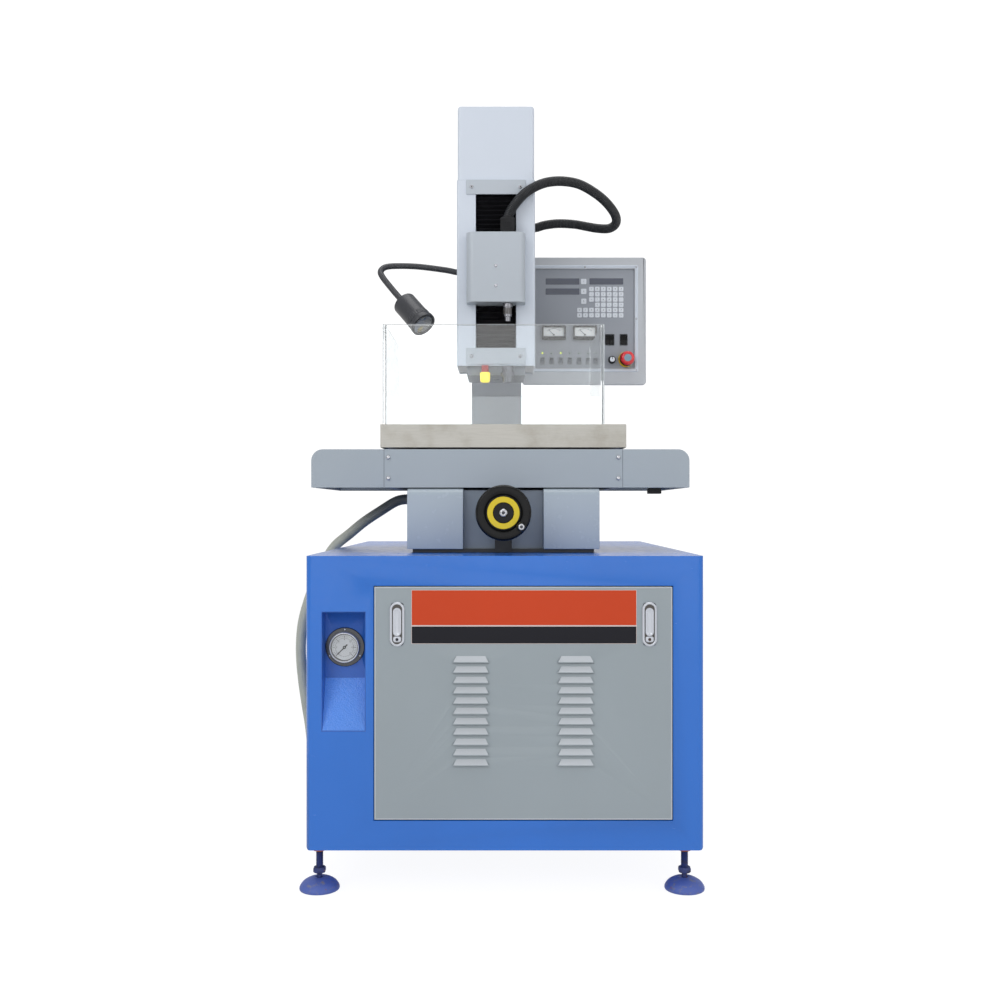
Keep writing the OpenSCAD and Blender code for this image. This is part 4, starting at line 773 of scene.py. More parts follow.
@dataclass(frozen=True)
class Steel(Finish):
    """Bare metal: a brushed or turned grain drawn out along one axis, with stains."""

    roughness: float = 0.3
    grain: Point = (1, 1, 1)
    grain_scale: float = 600.0
    stain: float = 0.0
    stain_colour: Rgb = (140, 132, 112)
    metallic: float = 1.0
    depth: float = 0.00003

    def build(self, g: Graph) -> None:
        """Grain is a stretched noise in colour, roughness and bump; stains mix in a second colour.

        Args:
            g: the graph of the finish's material.
        """
        grain = g.noise(self.grain_scale, 4, self.grain, 0.6)
        cloud = g.noise(14, 5, (1, 1, 1), 0.6)
        base = linear(self.colour)
        colour = g.mix(g.ramp(grain, 0.3, 0.7), scaled(base, 0.9), scaled(base, 1.06))
        if self.stain:
            colour = g.mix(g.ramp(cloud, 0.48, 0.68, 0, self.stain), colour, linear(self.stain_colour))
        g.put("Base Color", colour)
        g.put("Metallic", self.metallic)
        gloss = g.ramp(grain, 0.3, 0.7, self.roughness - 0.07, self.roughness + 0.08)
        g.put("Roughness", g.math("ADD", gloss, g.ramp(cloud, 0.45, 0.7, 0, 0.12)))
        g.bump(grain, 0.2, self.depth)


@dataclass(frozen=True)
class Plastic(Finish):
    """Moulded plastic or rubber: fine grain, slight unevenness in gloss and a little dust."""

    roughness: float = 0.35
    grain: float = 1500.0
    depth: float = 0.00004
    dust: float = 0.04
    coat: float = 0.0
    specular: float = 0.5

    def build(self, g: Graph) -> None:
        """Dust lightens the colour in patches; grain is a bump; gloss varies with the patches.

        Args:
            g: the graph of the finish's material.
        """
        patch = g.noise(45, 5, (1, 1, 1), 0.6)
        base = linear(self.colour)
        dusty = tuple(c + (0.5 - c) * 0.4 if c < 0.5 else c * 0.9 for c in base[:3]) + (1.0,)
        g.put("Base Color", g.mix(g.ramp(patch, 0.45, 0.75, 0, self.dust), base, dusty))
        g.put("Roughness", g.ramp(patch, 0.3, 0.7, self.roughness - 0.05, self.roughness + 0.07))
        g.bump(g.noise(self.grain, 2), 0.4, self.depth)
        g.put("Specular IOR Level", self.specular)
        g.put("Coat Weight", self.coat)


@dataclass(frozen=True)
class Clear(Finish):
    """Clear sheet or glass."""

    ior: float = 1.49
    roughness: float = 0.02
    shine: float = 0.3

    def build(self, g: Graph) -> None:
        """Light goes through; faint smears vary the gloss.

        Args:
            g: the graph of the finish's material.
        """
        g.put("Base Color", linear(self.colour))
        g.put("Transmission Weight", 1.0)
        g.put("IOR", self.ior)
        g.put("Specular IOR Level", self.shine)
        smears = g.noise(25, 4, (1, 1, 3))
        g.put("Roughness", g.ramp(smears, 0.5, 0.75, self.roughness, self.roughness + 0.05))


@dataclass(frozen=True)
class Cloth(Finish):
    """Coated cloth of the bellows: a fine weave in bump and colour."""

    def build(self, g: Graph) -> None:
        """Two crossed waves make the weave, and dust lies in patches.

        Args:
            g: the graph of the finish's material.
        """
        threads = {"Vector": g.coords, "Scale": 240.0, "Distortion": 0.4}
        across, along = (g.add("TexWave", threads, bands_direction=way).outputs["Fac"] for way in ("X", "Z"))
        weave = g.math("MULTIPLY", across, along)
        dust = g.ramp(g.noise(50, 5), 0.45, 0.75, 0, 0.25)
        g.put("Base Color", g.mix(dust, linear(self.colour), linear((40, 41, 46))))
        g.put("Roughness", g.ramp(weave, 0, 1, 0.62, 0.78))
        g.put("Specular IOR Level", 0.2)
        g.bump(weave, 0.35, 0.0002)


@dataclass(frozen=True)
class WornPaint(Finish):
    """Paint rubbed through to dull metal, with rust where it is thin."""

    bare: Rgb = (112, 112, 112)
    rust: Rgb = (148, 78, 34)
    worn: float = 0.5

    def build(self, g: Graph) -> None:
        """A broad noise bares the metal, a finer one inside it rusts; bare spots are rougher and lower.

        Args:
            g: the graph of the finish's material.
        """
        wear = g.noise(70, 8, (1, 1, 1.6), 0.65)
        spots = g.noise(130, 6, (1, 1, 1), 0.7)
        bared = g.ramp(wear, 0.62 - 0.12 * self.worn, 0.7)
        rusty = g.math("MULTIPLY", g.ramp(spots, 0.6, 0.68), g.ramp(wear, 0.5, 0.62))
        paint = g.mix(bared, linear(self.colour), linear(self.bare))
        g.put("Base Color", g.mix(rusty, paint, linear(self.rust)))
        g.put("Metallic", g.math("MULTIPLY", bared, 0.35))
        g.put("Roughness", g.ramp(wear, 0.35, 0.7, 0.42, 0.7))
        g.bump(g.math("ADD", wear, g.math("MULTIPLY", spots, 0.5)), 0.5, 0.0004)


@dataclass(frozen=True)
class Hose(Finish):
    """Cloudy plastic hose with painted shade towards its upper end, under the stage, and darker where it is
    dirty.
    """

    # The darker colour, used for the painted shade and for the dirt.
    dark: Rgb = (116, 120, 122)

    def build(self, g: Graph) -> None:
        """Height above the cabinet mixes in the darker colour as painted shade under the stage; dirt comes in
        bands.

        Args:
            g: the graph of the finish's material.
        """
        # Painted shade: the hose's upper end, under the stage, takes the darker colour.
        up = g.ramp(g.height(), 0.775, 0.86, 0, 0.92)
        dirt = g.ramp(g.noise(30, 5, (1, 1, 0.6)), 0.5, 0.75, 0, 0.4)
        g.put("Base Color", g.mix(g.math("MAXIMUM", up, dirt), linear(self.colour), linear(self.dark)))
        g.put("Roughness", 0.36)
        g.put("Transmission Weight", 0.12)
        g.bump(g.noise(500, 2), 0.3, 0.0001)


@dataclass(frozen=True)
class Lamp(Finish):
    """A small lens lit from behind."""

    glow: float = 0.6

    def build(self, g: Graph) -> None:
        """The colour itself glows, a little unevenly.

        Args:
            g: the graph of the finish's material.
        """
        g.put("Base Color", linear(self.colour))
        g.put("Roughness", 0.18)
        g.put("Emission Color", linear(self.colour))
        g.put("Emission Strength", g.ramp(g.noise(60, 2), 0.2, 0.8, self.glow * 0.7, self.glow))


CABINET_BLUE = Enamel("cabinet_enamel", (36, 110, 204), roughness=0.22, peel=620, clouding=0.04)
# Painted shade: the recess wears the cabinet's blue darkened for the shade inside it, with a coarser orange
# peel.
RECESS_SHADED_BLUE = Enamel("recess_shaded_enamel", (38, 94, 182), roughness=0.4, peel=260, peel_depth=0.0008)
# Painted light: the chute is painted paler than the recess because its slope faces the light above; it has a
# hammered grain and scuffs.
CHUTE_LIT_BLUE = Enamel("chute_lit_enamel", (74, 134, 226), roughness=0.3, peel=330, peel_depth=0.003, clouding=0.08,
                    scuffs=0.5)
DOOR_GREY = Enamel("door_enamel", (150, 160, 166), roughness=0.42, peel=800, peel_depth=0.0002, clouding=0.03)
STAGE_GREY = Enamel("stage_enamel", (162, 172, 181), roughness=0.4, clouding=0.03, scuffs=0.18)
# Painted highlight: a paler grey for the door's folded edge, where light catches it.
EDGE_HIGHLIGHT_GREY = Enamel("edge_highlight_enamel", (186, 193, 200), roughness=0.3, clouding=0.03)
SEAM_GREY = Enamel("seam_shadow", (104, 110, 120), roughness=0.5)
# Painted light: louvre tops paler than the door, as lit from above, with a coarse peel.
LOUVRE_LIT_GREY = Enamel("louvre_lit_enamel", (190, 196, 202), roughness=0.4, peel=260, peel_depth=0.0008,
                     clouding=0.08)
# Painted highlight: pale opaque strips where the clear guard's cut edges catch the light.
EDGE_HIGHLIGHT_CLEAR = Plastic("sheet_edge_highlight", (206, 211, 215), roughness=0.3, dust=0.1)
COVER_GREY = Enamel("cover_enamel", (168, 180, 191), roughness=0.24, clouding=0.03)
HEAD_GREY = Enamel("head_enamel", (210, 218, 230), roughness=0.34, clouding=0.025, scuffs=0.06)
PLATE_GREY = Enamel("plate_enamel", (184, 192, 201), roughness=0.36, clouding=0.03, scuffs=0.1)
BOX_GREY = Enamel("box_enamel", (192, 196, 202), roughness=0.33, clouding=0.03, scuffs=0.06)
# The bed is painted near black below 752.5 mm: a painted shadow in the gap under the covers.
BED_GREY = Enamel("bed_enamel", (112, 122, 134), roughness=0.42, clouding=0.08, scuffs=0.2, shade_below=0.7525)
BASE_GREY = Enamel("base_enamel", (128, 134, 142), roughness=0.45, clouding=0.06, scuffs=0.2)
COLUMN_GREY = Enamel("column_enamel", (142, 147, 156), roughness=0.4, scuffs=0.25)
PANEL_GREY = Enamel("panel_film", (153, 158, 167), roughness=0.5, peel=1400, peel_depth=0.00006,
                    clouding=0.02, scuffs=0.03)
FILM = {"peel": 1500, "peel_depth": 0.00004}
LABEL_ORANGE = Enamel("label_orange", (201, 66, 26), roughness=0.4, clouding=0.03, scuffs=0.03, specular=0.25,
                      **FILM)
LABEL_BLACK = Enamel("label_black", (32, 32, 38), roughness=0.35, clouding=0.03, scuffs=0.02, specular=0.12,
                     **FILM)
LABEL_PALE = Enamel("label_pale", (216, 200, 196), roughness=0.45, **FILM)
GROUND = Steel("ground_steel", (174, 172, 166), roughness=0.42, grain=(0.05, 1, 1), stain=0.34, metallic=0.75)
TURNED = Steel("turned_steel", (172, 173, 178), roughness=0.24, grain=(1, 0.1, 1))
CHROME = Steel("chrome", (170, 171, 176), roughness=0.14, grain_scale=200)
CHUCK = Steel("chuck_steel", (124, 125, 130), roughness=0.18, grain=(1, 1, 0.1))
GUIDE_STEEL = Steel("guide_steel", (92, 93, 97), roughness=0.24, grain=(1, 1, 0.1))
KNURL = Steel("knurled_steel", (84, 82, 80), roughness=0.35)
DARK_CHROME = Steel("dark_chrome", (78, 79, 82), roughness=0.2, grain_scale=300)
ALUMINIUM = Steel("satin_aluminium", (205, 207, 212), roughness=0.34, grain=(1, 1, 0.08), metallic=0.85)
LOCK_METAL = Steel("lock_chrome", (194, 198, 206), roughness=0.36, grain_scale=900, metallic=0.5, depth=1e-6)
BLACKENED = Steel("blackened_steel", (46, 48, 56), roughness=0.45, stain=0.5, stain_colour=(96, 66, 44),
                  metallic=0.6)
CAST_IRON = Enamel("casting_paint", (120, 126, 134), roughness=0.5, peel=320, peel_depth=0.0006,
                   clouding=0.08, scuffs=0.2)
BLACK_CAST = Enamel("black_casting", (17, 18, 20), roughness=0.5, peel=320, peel_depth=0.0005, scuffs=0.1)
BLACK_GLOSS = Plastic("black_gloss", (13, 14, 16), roughness=0.2, coat=0.05, dust=0.02, specular=0.15)
BLACK_SATIN = Plastic("black_satin", (22, 23, 26), roughness=0.42, specular=0.2)
LAMP_BLACK = Plastic("lamp_black", (42, 44, 50), roughness=0.36, grain=700, depth=0.0001)
RUBBER = Plastic("conduit_black", (30, 32, 36), roughness=0.36, dust=0.1, specular=0.35)
SWITCH_GREY = Plastic("switch_grey", (104, 110, 118), roughness=0.4)
KEY_WHITE = Plastic("key_white", (222, 227, 235), roughness=0.42, dust=0.02)
INK = Plastic("ink", (56, 58, 66), roughness=0.5, dust=0.0)
DIAL_WHITE = Plastic("dial_white", (198, 201, 204), roughness=0.5, dust=0.1)
METER_WHITE = Plastic("meter_white", (252, 254, 255), roughness=0.4, dust=0.0)
DISPLAY = Plastic("display_glass", (70, 76, 92), roughness=0.14, dust=0.02)
RED = Plastic("stop_red", (224, 36, 44), roughness=0.24, coat=0.3, dust=0.02)
YELLOW = Plastic("signal_yellow", (236, 190, 40), roughness=0.34, dust=0.03)
RING_YELLOW = Plastic("ring_yellow", (214, 190, 14), roughness=0.4, dust=0.15)
STOP_DISC = Plastic("stop_disc", (126, 160, 178), roughness=0.35, dust=0.1)
LIGHT_RED = Plastic("light_red", (168, 34, 22), roughness=0.24)
LIGHT_LENS = Lamp("light_lens", (252, 230, 66), glow=0.75)
LED_LIT = Lamp("led_lit", (222, 240, 90), glow=0.8)
LED_OFF = Plastic("led_off", (130, 146, 136), roughness=0.25, dust=0.02)
ACRYLIC = Clear("clear_acrylic", (247, 250, 251))
GLASS = Clear("clear_glass", (250, 251, 252), ior=1.45)
BELLOWS_CLOTH = Cloth("bellows_cloth", (13, 13, 17))
FOOT_PAINT = WornPaint("foot_paint", (78, 100, 176), bare=(130, 132, 144), worn=0.7)
RUST = WornPaint("rusty_paint", (176, 92, 44), bare=(96, 62, 48), worn=0.8)
STUD_METAL = WornPaint("stud_metal", (42, 56, 112), bare=(54, 50, 54), worn=0.9)
HOSE_PLASTIC = Hose("hose_plastic", (188, 192, 182))
TANK_PLASTIC = Plastic("tank_plastic", (226, 228, 224), roughness=0.45)


def wear(node: str, finish: Finish) -> None:
    """Gives a solid that shows as it is its finish.

    Args:
        node: the solid.
        finish: its finish.
    """
    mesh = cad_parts[node].data
    mesh.materials.clear()
    mesh.materials.append(finish.material())
    log.info("%s: %s", node, finish.name)


# The machine


@dataclass
class Studio:
    """Camera, soft lights, pale floor and background."""

    camera_at: Point = (4.5, -2887.0, 844.0)
    lens: float = 38.55
    sensor: float = 36.0
    clip: Pair = (0.05, 60.0)
    shift: Pair = (-2 / 1001, 9.2 / 1001)
    aim: Point = (0, 0, 900)
    lights: tuple[tuple[str, Point, float, float], ...] = (
        ("key", (-3800, -5200, 4200), 3.4, 118.0), ("fill", (4600, -4400, 3000), 4.0, 70.0),
        ("top", (0, -300, 6000), 4.0, 110.0), ("front", (0, -7000, 1200), 4.6, 62.0))
    floor_half: float = 9.0
    floor_white: Rgba = (0.9, 0.9, 0.9, 1.0)
    floor_glow: float = 1.16
    floor_share: float = 0.8
    sky_light: float = 0.38
    sky_seen: float = 0.7
    sky_in_gloss: float = 0.42

    def camera(self) -> None:
        """Stands the camera where the photograph was taken, looking straight along +Y."""
        data = bpy.data.cameras.new("camera")
        data.lens, data.sensor_width = self.lens, self.sensor
        data.shift_x, data.shift_y = self.shift
        data.clip_start, data.clip_end = self.clip
        obj = added("camera", data)
        obj.location = tuple(v * MM for v in self.camera_at)
        obj.rotation_euler = (math.pi / 2, 0, 0)
        bpy.context.scene.camera = obj
        bpy.context.scene.view_settings.view_transform = "Standard"

    def light(self, name: str, at: Point, size: float, power: float) -> None:
        """Hangs one square soft light, turned to the machine.

        Args:
            name: the light's name.
            at: its place in mm.
            size: its width in metres.
            power: its power in watts.
        """
        data = bpy.data.lights.new(name, "AREA")
        data.shape, data.size, data.energy = "SQUARE", size, power
        matrix = np.eye(4)
        matrix[:3, :3] = basis(tuple(np.array(at, float) - np.array(self.aim, float))).T
        matrix[:3, 3] = np.array(at) * MM
        added(name, data).matrix_world = Matrix(matrix.tolist())

    def floor(self) -> None:
        """A wide pale floor that takes the shadow; camera, gloss and clear sheet see it whiter than it is."""
        mesh = bpy.data.meshes.new("floor")
        corners = self.floor_half * np.array([[-1, -1, 0], [1, -1, 0], [1, 1, 0], [-1, 1, 0]], float)
        mesh.from_pydata(corners.tolist(), [], [[0, 1, 2, 3]])
        g = Graph("floor_white")
        g.put("Base Color", self.floor_white)
        g.put("Roughness", 0.9)
        path = g.add("LightPath", {}).outputs
        seen = g.math("MAXIMUM", path["Is Camera Ray"],
                      g.math("MAXIMUM", path["Is Glossy Ray"], path["Is Transmission Ray"]))
        glow = g.add("Emission", {"Color": (1, 1, 1, 1), "Strength": self.floor_glow})
        share = g.math("MULTIPLY", seen, self.floor_share)
        mixed = g.add("MixShader", {0: share, 1: g.shader.outputs[0], 2: glow.outputs[0]})
        g.tree.links.new(mixed.outputs[0], g.output.inputs["Surface"])
        mesh.materials.append(g.material)
        added("floor", mesh)

    def world(self) -> None:
        """White to the camera and through clear sheet, a little less in gloss; soft grey as light."""
        world = bpy.data.worlds.new("studio")
        bpy.context.scene.world = world
        world.use_nodes = True
        tree = world.node_tree
        sky = tree.nodes["Background"].inputs
        sky["Color"].default_value = (1, 1, 1, 1)
        path = tree.nodes.new("ShaderNodeLightPath").outputs
        seen = arithmetic(tree, "MAXIMUM", path["Is Camera Ray"], path["Is Transmission Ray"])
        level = arithmetic(tree, "MULTIPLY_ADD", seen, self.sky_seen, self.sky_light)
        level = arithmetic(tree, "MULTIPLY_ADD", path["Is Glossy Ray"], self.sky_in_gloss, level)
        feed(tree, sky["Strength"], level)

    def build(self) -> None:
        """Camera first, then the lights, the floor and the world."""
        self.camera()
        for row in self.lights:
            self.light(*row)
        self.floor()
        self.world()


@dataclass
class Hoses:
    """The drain hose at the left and the conduit that feeds the carriage."""

    drain_w: float = 28.0
    drain_sides: int = 28
    drain_step: float = 1.25
    drain_rib: float = 5.0
    drain_groove: float = 0.7
    drain_route: tuple[Point, ...] = (
        (-248, 600, 872), (-276, 600, 872), (-300, 598, 865), (-337, 595, 842), (-383, 590, 811),
        (-419, 585, 781), (-462, 580, 744), (-491, 579, 697), (-515, 579, 645), (-535, 579, 590),
        (-549, 580, 535), (-554, 580, 480), (-553, 580, 430), (-547, 580, 370), (-538, 580, 310),
        (-530, 580, 260), (-525, 580, 215), (-525, 580, 185))
    conduit_w: float = 25.0
    conduit_valley: float = 22.0
    conduit_rib: float = 4.2
    conduit_steps: int = 8
    conduit_moving: Point = (8, 424, 1600)
    conduit_fixed: Point = (8, 640, 1600)
    conduit_route: tuple[Point, ...] = (
        (8, 418, 1568), (8, 418, 1593), (17, 418, 1615), (33, 418, 1637), (53, 420, 1659),
        (79, 425, 1677), (110, 434, 1691), (150, 450, 1699), (195, 472, 1698), (238, 502, 1685),
        (273, 532, 1667), (300, 568, 1645), (306, 600, 1630), (291, 628, 1623), (262, 645, 1627),
        (230, 655, 1635), (195, 658, 1642), (150, 654, 1643), (112, 649, 1637), (88, 648, 1630),
        (63, 648, 1630))

    def drain(self) -> None:
        """Round hose with fine ribs: the radius is w/2 - groove * sin^4(pi s / rib) at length s."""
        path = smooth_path(self.drain_route, self.drain_step)
        gone = np.arange(len(path)) * self.drain_step
        wave = 0.5 - 0.5 * np.cos(2 * math.pi * gone / self.drain_rib)
        radii = self.drain_w / 2 - self.drain_groove * wave ** 2
        radii[[0, -1]] = self.drain_w / 2
        wall = tube(path, radii, self.drain_sides)
        hose = piece("drain_hose_wall", wall, "frame", HOSE_PLASTIC, 60)
        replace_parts(hose, "drain_hose")

    def conduit(self) -> None:
        """Corrugated conduit with round crests and narrow valleys, r = valley + rise * (1 - |2p - 1|^3)."""
        path = smooth_path(self.conduit_route, self.conduit_rib / self.conduit_steps)
        phase = (np.arange(len(path)) / self.conduit_steps) % 1
        rise = (self.conduit_w - self.conduit_valley) / 2
        radii = self.conduit_valley / 2 + rise * (1 - np.abs(2 * phase - 1) ** 3)
        obj = piece("conduit_wall", tube(path, radii, 24), "", RUBBER, 70)
        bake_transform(obj)
        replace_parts(obj, "conduit")

    def build(self) -> None:
        """Both hoses."""
        self.drain()
        self.conduit()


@dataclass
class Cabinet:
    """Cabinet, gauge recess, door with its labels, louvres and locks, feet, and what stands inside."""

    feet: tuple[Pair, ...] = ((-412, 46), (400, 46), (-412, 1054), (400, 1054))
    door_x: float = 40.5
    door_z: float = 421.5
    door_size: Pair = (650.6, 508.6)
    chute_x: Pair = (-398.6, -306.0)
    chute_front: Pair = (0.6, 362.0)
    chute_back: Pair = (44.2, 470.4)
    label_x: Pair = (-203.0, 287.0)
    upper_z: Pair = (592.0, 668.0)
    lower_z: Pair = (552.0, 589.0)
    edge_z: Pair = (551.0, 669.0)
    lock_x: Pair = (-235.0, 316.0)
    lock_z: float = 594.0
    lock_size: Pair = (32.0, 97.0)
    lock_floor: Pair = (22.0, 87.0)
    lever_z: float = 599.0
    lever_size: Pair = (18.4, 62.0)
    button_z: float = 561.2
    button_size: Pair = (18.0, 12.6)
    key_z: float = 561.0
    key_out: float = 3.7
    louvre_x: Pair = (-74.0, 155.0)
    louvre_z: float = 285.0
    louvre_pitch: float = 22.5
    louvre_count: int = 11
    louvre_rise: Pair = (1.2, 13.8)
    louvre_out: Pair = (6.3, -6.0)
    louvre_half: Pair = (38.6, -7.4)
    thread_r: float = 8.0
    thread_z: Pair = (50.0, 100.0)
    thread_step: float = 0.25
    thread_sides: int = 28
    thread_pitch: float = 2.0
    thread_depth: float = 1.1

    def sheet_metal(self) -> None:
        """Blue shell, recess in painted shade, chute in painted light, grey door with a folded edge in
        painted highlight.
        """
        softened("cabinet_shell", 0, "frame", CABINET_BLUE)
        softened("gauge_recess", 0, "frame", RECESS_SHADED_BLUE)
        softened("door", 0.7, "door", DOOR_GREY)
        # The chute sheet over the recess's slope, in the paler blue of painted light.
        (x0, x1), (d0, z0), (d1, z1) = self.chute_x, self.chute_front, self.chute_back
        corners = ((x0, d0, z0), (x1, d0, z0), (x1, d1, z1), (x0, d1, z1))
        sheet = [[place(x, d + lift, z) for x, d, z in corners] for lift in (0.2, -0.5)]
        # A folded strip round the door, paler than the door: a painted highlight on its edges.
        fold = [(0, -3), (0, -0.5), (0.8, 0.3), (2.4, 0.35), (3.0, -0.3)]
        strip = frame_ring(place(self.door_x, 0, self.door_z), self.door_size, 1, fold, 2)
        piece("door_edge_highlight", strip, "door", EDGE_HIGHLIGHT_GREY)
        piece("recess_chute_lit", skin(np.array(sheet)), "frame", CHUTE_LIT_BLUE)

    def labels(self) -> None:
        """Two bare label plates on a pale one, which shows between and round them."""
        x0, x1 = self.label_x
        for name, (low, high), grow, t, finish in (("label_upper", self.upper_z, 0, 0.6, LABEL_ORANGE),
                                                   ("label_lower", self.lower_z, 0, 0.6, LABEL_BLACK),
                                                   ("label_edge", self.edge_z, 1, 0.3, LABEL_PALE)):
            plate = slab(place((x0 + x1) / 2, 0, (low + high) / 2), (x1 - x0 + 2 * grow, high - low), 0.8,
                         [(0, -0.2), (0, t - 0.15), (0.15, t)], corner=2)
            piece(name, plate, "door", finish)

    def louvres(self) -> None:
        """Tops of the louvres painted pale as painted light from above: each size is its start and its change
        from the lip to the top.
        """
        t = np.linspace(0.08, 0.96, 5)
        rise, out, half = (start + change * t for start, change in
                           (self.louvre_rise, self.louvre_out, self.louvre_half))
        ring = np.stack([np.stack([side * half, back - out, rise], -1)
                         for side, back in ((-1, 0), (1, 0), (1, 0.9), (-1, 0.9))], 1) * MM
        lit_tops = joined(skin(place(x, 0, self.louvre_z + self.louvre_pitch * i) + ring)
                      for x in self.louvre_x for i in range(self.louvre_count))
        piece("louvre_lit_tops", lit_tops, "door", LOUVRE_LIT_GREY)

    def locks(self) -> None:
        """Lock plates with round ends and a sunk floor; in each a dished lever and a push button."""
        rim = [(0, -0.2), (0, 2.6), (1.4, 3.9), (3.4, 4.1), (4.8, 3.3), (5.2, -0.2)]
        push = [(0, -0.2), (0, 2.6), (1.2, 3.6), (3.0, 3.8)]
        dish = [(0, -0.8), (0, 2.8), (0.8, 3.8), (2.4, 4.1), (3.6, 3.8), (5.0, 2.6), (7.0, 2.2)]
        key = [(3.4, -0.2), (3.4, 0.25), (3.0, 0.5), (0.2, 0.5)]
        plates, floors = [], []
        for side, x in zip(("left", "right"), self.lock_x):
            plates += [frame_ring(place(x, 0, self.lock_z), self.lock_size, self.lock_size[0] / 2, rim, 12),
                       slab(place(x, 0, self.button_z), self.button_size, 5, push, corner=6)]
            floors.append(slab(place(x, 0, self.lock_z), self.lock_floor, self.lock_floor[0] / 2,
                               [(0, -0.3), (0, 0.9)], corner=12))
            grip = slab(place(x, 0, self.lever_z), self.lever_size, self.lever_size[0] / 2, dish, corner=10)
            lever = piece(f"lever_{side}", grip, f"latch_{side}", LOCK_METAL)
            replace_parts(lever, f"latch_lever_{side}")
        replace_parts(piece("lock_plates", joined(plates), "door", LOCK_METAL), "latch_bodies")
        piece("lock_floors", joined(floors), "door", KNURL)
        keyholes = joined(lathe(place(x, -self.key_out, self.key_z), FORWARD, key, 24) for x in self.lock_x)
        piece("lock_keyholes", keyholes, "door", BLACKENED)

    def stud(self, x: float, d: float) -> Surface:
        """A threaded stud, whose radius falls with the distance of z/pitch - angle/turn from a crest.

        Args:
            x: its place across the cabinet.
            d: its place behind the cabinet's front.

        Returns:
            The stud with its thread, its neck, its plain top and its collar.
        """
        low, high = self.thread_z
        z = np.arange(low, high + self.thread_step / 2, self.thread_step)
        a = angles(self.thread_sides)
        turn = (z[:, None] / self.thread_pitch - a[None, :] / (2 * math.pi)) % 1
        r = self.thread_r - self.thread_depth * np.abs(2 * turn - 1)
        at = place(x, d, 0)
        thread, neck = skin(at + rounds(r, z, self.thread_sides) * MM), lathe(at, UP, [(6, 12), (6, 38)], 24)
        top = lathe(at, UP, [(7.9, 100), (7.9, 137), (7, 138)], 24)
        return joined([thread, neck, top, hexagon(at, UP, 26, 38, 50, 2.5)])

    def standing(self) -> None:
        """Levelling feet: dished pads, threaded studs and nuts."""
        dish = eased([(0.5, 0.3), (42, 0.3), (44.5, 1.5), (44.5, 7.5), (37, 18), (25, 25), (15, 28),
                      (6.4, 28), (6.4, 22)], 5, 4)
        nuts = joined(hexagon(place(x, d, 0), UP, 28, 87.2, 99.8, 2.0) for x, d in self.feet)
        studs = joined(self.stud(x, d) for x, d in self.feet)
        pads = joined(lathe(place(x, d, 0), UP, dish, 64) for x, d in self.feet)
        piece("foot_locknuts", nuts, "frame", RUST)
        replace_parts(piece("foot_threads", studs, "frame", STUD_METAL), "foot_studs")
        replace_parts(piece("foot_domes", pads, "frame", FOOT_PAINT, 40), "foot_pads")

    def inside(self) -> None:
        """Plain working finishes for the tank, the pump and the power supply."""
        wear("water_tank", TANK_PLASTIC)
        wear("pump_unit", BLACKENED)
        wear("power_supply", ALUMINIUM)

    def build(self) -> None:
        """All of the cabinet."""
        self.sheet_metal()
        self.labels()
        self.locks()
        self.louvres()
        self.standing()
        self.inside()


@dataclass
class Gauge:
    """Flanged pressure gauge in the recess."""

    x: float = -355.2
    z: float = 539.0
    seat_d: float = 45.0
    dial_d: float = 36.0
    screw_r: float = 38.8
    numeral_r: float = 17.6
    mark_lift: float = 0.42
    steps: int = 30
    label_every: int = 5
    sweep: Pair = (225.0, 270.0)

    def case(self) -> None:
        """Dark flange with the body and stem behind it, bright bezel and three screws."""
        at = place(self.x, self.seat_d, self.z)
        flange = turned_ring(at, FORWARD, [(30, 0.05), (43.4, 0.05), (43.5, 0.6), (43.3, 2.2), (42.2, 3.0),
                                           (34, 3.0), (30, 3.0)])
        body = lathe(at, FORWARD, [(30, -36), (30, 0)], 40)
        stem = lathe(at, FORWARD, [(7, -58), (7, -36)], 24)
        ring = piece("gauge_flange", flange + body + stem, "frame", DARK_CHROME)
        bezel = eased([(34, 3.0), (34, 12), (33.2, 16.2), (31.6, 17), (30.4, 16.4), (30.4, 9), (30.4, 3.0)],
                      1.2, 3)
        piece("gauge_bezel", turned_ring(at, FORWARD, bezel, 72), "frame", ALUMINIUM)
        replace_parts(ring, "gauge_case")
        around = [math.radians(a) for a in (90, 210, 330)]
        screws = joined(screw_head(place(self.x + self.screw_r * math.cos(a), self.seat_d - 3,
                                         self.z + self.screw_r * math.sin(a)), 5, 1.6) for a in around)
        piece("gauge_screws", screws, "frame", CHROME)

    def dial(self) -> None:
        """Pale dial with a dark rim ring as painted shade under the bezel, an inner ring, ticks over 270
        degrees and plain numerals.
        """
        at = place(self.x, self.dial_d, self.z)
        plate = lathe(at, FORWARD, [(30.3, -2), (30.3, 0.3), (0.3, 0.3)], 64)
        piece("gauge_dial", plate, "frame", DIAL_WHITE)
        # The outer dark ring at the dial's edge is painted shade under the bezel; the inner ring is print.
        marks = [turned_ring(at, FORWARD, [(28.3, 0.2), (30.2, 0.2), (30.2, 0.6), (28.3, 0.6)]),
                 turned_ring(at, FORWARD, [(20.0, 0.2), (20.5, 0.2), (20.5, 0.42), (20.0, 0.42)])]
        start, turn = self.sweep
        for i in range(self.steps + 1):
            a = math.radians(start - turn * i / self.steps)
            if i % self.label_every:
                marks.append(tick(at, a, 23.5, 26.0, 0.3, self.mark_lift))
                continue
            marks.append(tick(at, a, 21.5, 26.0, 0.55, self.mark_lift))
            middle = place(self.x + math.cos(a) * self.numeral_r, self.dial_d - self.mark_lift,
                           self.z + math.sin(a) * self.numeral_r)
            marks.append(lettering(str(i // self.label_every * 2), middle, 4.4))
        piece("gauge_marks", joined(marks), "frame", INK)

    def build(self) -> None:
        """Case, dial, needle and glass."""
        self.case()
        self.dial()
        wear("gauge_needle", BLACK_SATIN)
        wear("gauge_glass", GLASS)


